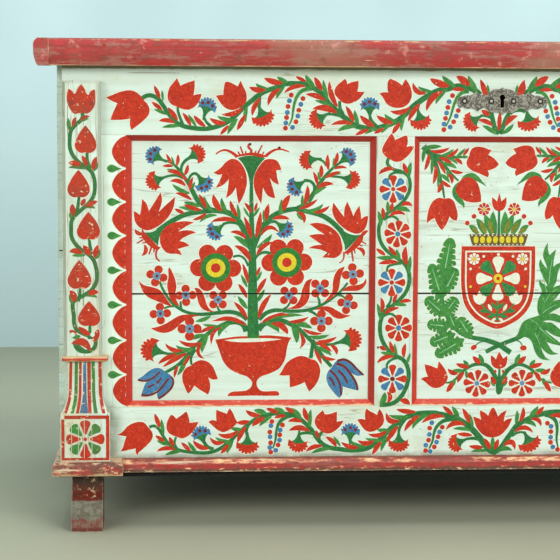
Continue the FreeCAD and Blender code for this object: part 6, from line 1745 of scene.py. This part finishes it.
def laurel_branch(art):
    """Long pointed leaves that grow together along the stem, with narrow gaps between their tips."""
    art.stem([(-15, 71), (-6, 76), (3, 80), (14, 84.6), (26, 89), (36, 94)], 5.6, 6)
    art.shape("leaf", [
        (24, 89.4), (28, 95), (31, 103), (33.6, 109.4), (38, 113.8), (44, 116.6), (51, 118.8),
        (57.4, 120.8, 1), (55.2, 126), (54.4, 134), (55.6, 142), (58.4, 148.4), (60.6, 152.6),
        (58.6, 158), (56.4, 164), (57, 169.8, 1), (60, 165.4), (64, 162.8), (68, 160, 1), (65.6, 166),
        (60.6, 175), (57, 184), (55.8, 191.2), (57.6, 197.4, 1), (60.2, 192.2), (63.6, 187.4),
        (67.4, 184.2, 1), (64.4, 192.4), (61.4, 200), (61.4, 206.4), (63.8, 213.6), (67.5, 219.8, 1),
        (67.4, 212), (68.6, 206), (70.2, 202.4, 1), (73.6, 206), (78.6, 210.6, 1), (77, 202), (75.6, 194),
        (75.4, 186.2, 1), (79.4, 190.2), (84, 192), (93, 198, 1), (88, 190), (83.6, 184), (81.4, 177),
        (80.4, 169), (78.4, 163.4), (75.4, 158.4, 1), (79.4, 160.4), (84, 161.6), (94, 167, 1), (90, 158),
        (84, 150), (80, 144.4), (75.6, 139, 1), (80, 141), (86, 142.4), (97, 141, 1), (90, 134.6),
        (83.6, 130.6), (77, 127), (70.6, 122.6, 1), (77, 123.4), (84, 121), (98, 113, 1), (90, 110.8),
        (84, 111.2), (78, 112.8), (70, 114), (62.4, 112.4, 1), (68, 111.2), (74, 110.8), (84, 103.4),
        (97, 91, 1), (90, 90.6), (83.6, 91.6), (77, 94), (71, 97.8), (65, 101.2, 1), (71, 95.4), (78, 90),
        (86, 84), (97, 78, 1), (90, 78.6), (83.6, 80), (75, 82), (68, 84.8, 1), (71, 80), (74.4, 74.6),
        (78, 70.6), (85, 68.4, 1), (79, 67), (73, 67.2), (66.6, 71), (60.6, 77.4, 1), (62.4, 72),
        (65.4, 66), (69, 61.8), (74, 59.4, 1), (66, 59.8), (60, 61.8), (55.6, 66), (52.4, 71), (50, 78),
        (48, 84), (44.6, 88.4), (40, 90.8), (34, 91.6), (29, 90.6)])
    for line in (((45, 115.4), (51, 112), (55.6, 108)), ((62.4, 145), (63, 141.6), (64.6, 138.4)),
                 ((52, 96), (56, 88), (59, 80)), ((58, 104), (70, 93), (80, 84)),
                 ((62, 124), (70, 130), (80, 135)),
                 ((66, 140), (72, 150), (82, 157)), ((67, 152), (64, 164), (60, 178)),
                 ((70, 164), (71, 180), (73.6, 196))):
        art.stem(line, 1.0, 0.5, "vein")
    art.disc("red", 36.4, 76.4, 4.6, halo=0.9, squeeze=0.78, turn=-8)
    art.stem([(24, 87), (31, 85), (34.6, 80)], 1.6)


def bouquet(art):
    """The flowers below the medallion."""
    art.shape("stem", [(0.6, 14), (4, 12.4), (7, 14.6), (9.6, 22), (11, 31), (8, 33), (3.6, 34),
                       (-0.4, 31), (-0.6, 22)],
              0.6)
    art.stem([(3, 26), (-1.6, 37), (-7, 46), (-14, 52.6), (-23, 54.8), (-33, 53), (-43, 47.4),
              (-50, 40.6), (-57, 33), (-64, 29.6), (-70, 29.4)], 7, 2.4)
    art.stem([(5, 26), (9.6, 37), (14.6, 45), (22, 51), (31, 54), (41, 51), (49, 46), (55.6, 39), (62, 33),
              (69, 29.4), (76, 29)], 7, 2.4)
    art.stem([(3.6, 30), (4, 40), (3.8, 49)], 5, 2.4)
    art.shape("red", [(-8, 66.6, 1), (-3.6, 63.6), (-0.8, 60.6, 1), (0.6, 66), (3.4, 71.4, 1), (6.6, 66),
                      (9, 62, 1),
                (14.4, 65.8, 1), (14.4, 58), (12, 51.4), (6.6, 48.4), (1, 48), (-4.6, 51.2), (-7.6, 57.6)])
    for side, rose, end in ((-1, -26.6, -1), (1, 35.4, 1)):
        rosette(art, rose, 28.2, 18.6, ("red",), "heart", 3.4, width=8.8, turn=90 if side > 0 else 84)
    for mirrored in (False, True):
        line = [(-98.4, 54.6, 1), (-91, 53), (-85, 50.4), (-81, 49, 1), (-79.2, 58.6, 1), (-73, 51.4),
                (-68.4, 43.6), (-66.6, 36.4), (-69.4, 29), (-76, 23.6), (-83.4, 22), (-90.6, 24.4),
                (-96, 29.4), (-103.4, 34.6, 1), (-99, 37), (-93.4, 37.6, 1), (-96.6, 45)]
        if mirrored:
            line = [(7.4 - p[0], p[1]) + tuple(p[2:]) for p in line]
        art.shape("red", line)
    for shift, side in ((0.0, 1), (7.4, -1)):
        rows = ((-38, 50.6, -55.6, 55.4, 6.6, 0.05), (-22.6, 55, -32.8, 65.2, 7),
                (-44.6, 43.6, -53, 29, 6.4, -0.08), (-59.6, 30, -68.2, 16.4, 7, 0.04),
                (-53, 42, -66.4, 48.6, 6.4, 0.16), (-1, 27, -7.6, 37.6, 6), (-2, 42, -1.4, 47, 3.6))
        art.leaves("red", [(shift + side * a, b, shift + side * c, d, w) + tuple(side * e for e in rest)
                           for a, b, c, d, w, *rest in rows])
        rows = ((-18, 54.4, -24.4, 68.4, 6.4), (-38, 51, -45.6, 60, 5.4), (-46, 46, -60.6, 46.4, 5.6, 0.05),
                (-57, 35, -60, 23.4, 5.4), (-42, 46, -40.6, 34.6, 4.6, 0.04), (-2, 24, -8, 31.6, 4))
        art.leaves("leaf", [(shift + side * a, b, shift + side * c, d, w) + tuple(side * e for e in rest)
                            for a, b, c, d, w, *rest in rows])


def medallion(art):
    """A round-bottomed red medallion with a pale flower on it."""
    art.shape("red", [(-50, 214.6, 1), (50, 214.6, 1), (50.4, 190), (49.6, 158), (45, 136), (33, 119),
                      (16, 108), (0, 102.6), (-16, 108), (-33, 119), (-45, 136), (-49.6, 158),
                      (-50.4, 190)], 1.2)
    art.stem([(-45, 207.6), (45, 207.6)], 2.2, 2.2, "cream")
    art.stem([(44, 208.6), (44, 186), (43.4, 159), (39, 139.6), (28.6, 125), (14, 115), (0, 110.6),
              (-14, 115), (-28.6, 125), (-39, 139.6), (-43.4, 159), (-44, 186), (-44, 208.6)], 2.2, 2.2,
              "cream")
    rosette(art, 0, 171, 30, ("cream", "over"), "yellow", 6.4, width=15.6, inner=8.4)
    art.disc("dot", 0, 171, 2.4)
    art.stem([(0, 114), (-0.8, 122), (0.6, 131), (0, 140)], 3.6, 2.8, "over")
    for side in (-1, 1):
        art.stem([(0, 121), (side * 9, 124), (side * 18, 131), (side * 22, 137)], 3.0, 2.0, "over")
        art.shape("cream", [(side * 16, 152.6, 1), (side * 20.6, 147.6, 1), (side * 25.4, 154.6, 1),
                            (side * 28.4, 147.8, 1), (side * 33.8, 149.2, 1), (side * 32.6, 142),
                            (side * 28.6, 137), (side * 23, 135.6), (side * 18.4, 138.6),
                            (side * 15.6, 144.6)])
        art.leaves("over", ((side * 3, 121.6, side * 15, 119.4, 5, side * -0.1),
                            (side * 1, 130, side * 9, 138, 5),
                            (side * 12, 126, side * 25, 127.6, 5.4)))
        art.leaves("cream", ((side * 8, 127, side * 13, 136.6, 4.4), (side * 2, 117, side * 8.6, 112.8, 3.6)))
        rosette(art, side * 33, 197.4, 8, ("cream",), "yellow", 2.2, width=4.2, inner=2.4)
        art.disc("cream", side * 20, 201, 1.8)
        art.disc("cream", side * 37.6, 184, 1.8)
        art.disc("yellow", side * 37.4, 160, 1.8)
    art.disc("cream", 0, 203.6, 2.0)


def basket(art):
    """The basket on the medallion: two woven bands and a heap of leaves, buds and small flowers."""
    art.shape("weave", [(-40, 231, 1), (40, 231, 1), (38, 223, 1), (35.6, 215.4, 1), (-35.6, 215.4, 1),
                        (-38, 223, 1)],
              0.8)
    for k in range(8):
        x = -30.8 + 8.8 * k
        art.shape("yellow", [(x - 2.9, 226.4), (x, 228.2), (x + 2.9, 226.4), (x + 2.9, 220.6), (x, 218.8),
                             (x - 2.9, 220.6)], 0.0)
    for k in range(14):
        for z in (229.6, 216.9):
            art.disc("cream", -36.4 + 5.6 * k, z, 0.95)
    for side in (-1, 1):
        for base, tip, width, bend in (((4, 231), (8, 262), 10, -0.06), ((11, 231), (20, 258), 10, 0.04),
                                       ((20, 231), (31, 252), 9.6, 0.08), ((30, 231), (41, 243), 8, 0.12)):
            art.leaf("leaf", (side * base[0], base[1]), (side * tip[0], tip[1]), width, side * bend)
        for base, tip, width in (((8, 232), (14, 250), 6), ((17, 232), (26, 248), 6),
                                 ((27, 232), (37, 240), 5)):
            art.leaf("moss", (side * base[0], base[1]), (side * tip[0], tip[1]), width)
        for x, z in ((34, 255), (43, 246)):
            art.disc("red", side * x, z, 3.2, halo=0.8)
        rosette(art, side * 20.6, 264.6, 8.6, ("red",), "yellow", 2.2, width=4.6, inner=2.4)
    art.shape("red", [(-9.6, 281, 1), (-5, 277), (-3, 275, 1), (0, 286.6, 1), (3, 275, 1), (5, 277),
                      (9.6, 281, 1),
                (9.4, 271), (6, 264.4), (0, 262), (-6, 264.4), (-9.4, 271)])
    art.stem([(0, 231), (0, 246), (0, 263)], 3.6, 3)


def middle_field():
    """All that is painted on the middle panel."""
    art = corner_spray(Painting(0.0, OPENING_BOTTOM, PANEL_FACE))
    art.build("middle_left_spray_painting")
    art = corner_spray(Painting(-6.0, OPENING_BOTTOM + 2.0, PANEL_FACE))
    art.build("middle_right_spray_painting", mirror=True)
    art = Painting(0.0, OPENING_BOTTOM, PANEL_FACE)
    oak_branch(art)
    laurel_branch(art)
    art.build("middle_branches_painting", cuts=(SEAM,))
    art = Painting(0.0, OPENING_BOTTOM, PANEL_FACE)
    bouquet(art)
    medallion(art)
    basket(art)
    art.build("middle_medallion_painting", cuts=(SEAM,))


middle_field()


# The room: a pale floor and wall, soft light, and the camera

def stage_sheet(name, corners, material):
    """One flat sheet of the room."""
    mesh = bpy.data.meshes.new(name)
    mesh.from_pydata([Vector(c) for c in corners], [], [tuple(range(len(corners)))])
    mesh.materials.append(material)
    sheet = bpy.data.objects.new(name, mesh)
    scene.collection.objects.link(sheet)


def plain(name, colour, rough):
    """A plain paint for the room, with faint clouds."""
    tree = Tree(name)
    cloud = tree.noise(tree.place, 1.6, 2)
    shade = tuple(v * 0.94 for v in colour)
    return tree.finish(tree.mix(tree.ramp(cloud, 0.3, 0.7), tone(*colour), tone(*shade)), rough)


def one_sided(material):
    """The sheet is clear from its back, so that it hides nothing from a camera behind it."""
    tree = material.node_tree
    clear = tree.nodes.new("ShaderNodeBsdfTransparent")
    choice = tree.nodes.new("ShaderNodeMixShader")
    side = tree.nodes.new("ShaderNodeNewGeometry")
    tree.links.new(side.outputs["Backfacing"], choice.inputs["Fac"])
    tree.links.new(tree.nodes["Principled BSDF"].outputs["BSDF"], choice.inputs[1])
    tree.links.new(clear.outputs["BSDF"], choice.inputs[2])
    tree.links.new(choice.outputs["Shader"], tree.nodes["Material Output"].inputs["Surface"])
    return material


wall_paint = one_sided(plain("wall_pale", (217, 246, 250), 0.9))
floor_paint = one_sided(plain("floor_pale", (180, 182, 158), 0.8))
stage_sheet("floor", [(-9, -9, 0), (9, -9, 0), (9, 9, 0), (-9, 9, 0)], floor_paint)
stage_sheet("wall", [(-9, 1.6, 0), (9, 1.6, 0), (9, 1.6, 6), (-9, 1.6, 6)], wall_paint)


def lamp(name, place, target, size, watts):
    """A soft rectangular lamp aimed at a spot."""
    data = bpy.data.lights.new(name, "AREA")
    data.shape = "RECTANGLE"
    data.size, data.size_y = size
    data.energy = watts
    item = bpy.data.objects.new(name, data)
    item.location = place
    item.rotation_euler = (Vector(target) - Vector(place)).to_track_quat("-Z", "Y").to_euler()
    item.visible_camera = False
    scene.collection.objects.link(item)


lamp("key_light", (2.0, -3.8, 1.9), (0, 0, 0.3), (2.4, 1.6), 118)
lamp("fill_light", (-2.6, -3.8, 1.7), (0, 0, 0.3), (2.4, 1.6), 78)
lamp("top_light", (0, -0.8, 4.2), (0, 0, 0), (3.4, 3.0), 76)
world = bpy.data.worlds.new("room")
world.use_nodes = True
world.node_tree.nodes["Background"].inputs["Color"].default_value = (0.82, 0.92, 0.94, 1)
world.node_tree.nodes["Background"].inputs["Strength"].default_value = 0.31
scene.world = world

SENSOR_WIDTH = 36
PICTURE_WIDTH = 560  # pixels
FOCAL_LENGTH = 1700  # in the same pixels
camera = bpy.data.cameras.new("camera")
camera.sensor_width = SENSOR_WIDTH
camera.lens = SENSOR_WIDTH * FOCAL_LENGTH / PICTURE_WIDTH
camera.clip_end = 50
view = bpy.data.objects.new("camera", camera)
yaw, pitch, roll = radians(3.853), radians(5.244), radians(0.277)
forward = Vector((sin(yaw) * cos(pitch), cos(yaw) * cos(pitch), -sin(pitch)))
right = Vector((cos(yaw), -sin(yaw), 0))
up = right.cross(forward)
tilted = right * cos(roll) + up * sin(roll)
upright = up * cos(roll) - right * sin(roll)
turn = Matrix((tilted, upright, -forward)).transposed()
view.matrix_world = Matrix.Translation((-0.4474, -2.5203, 0.5414)) @ turn.to_4x4()
scene.collection.objects.link(view)
scene.camera = view
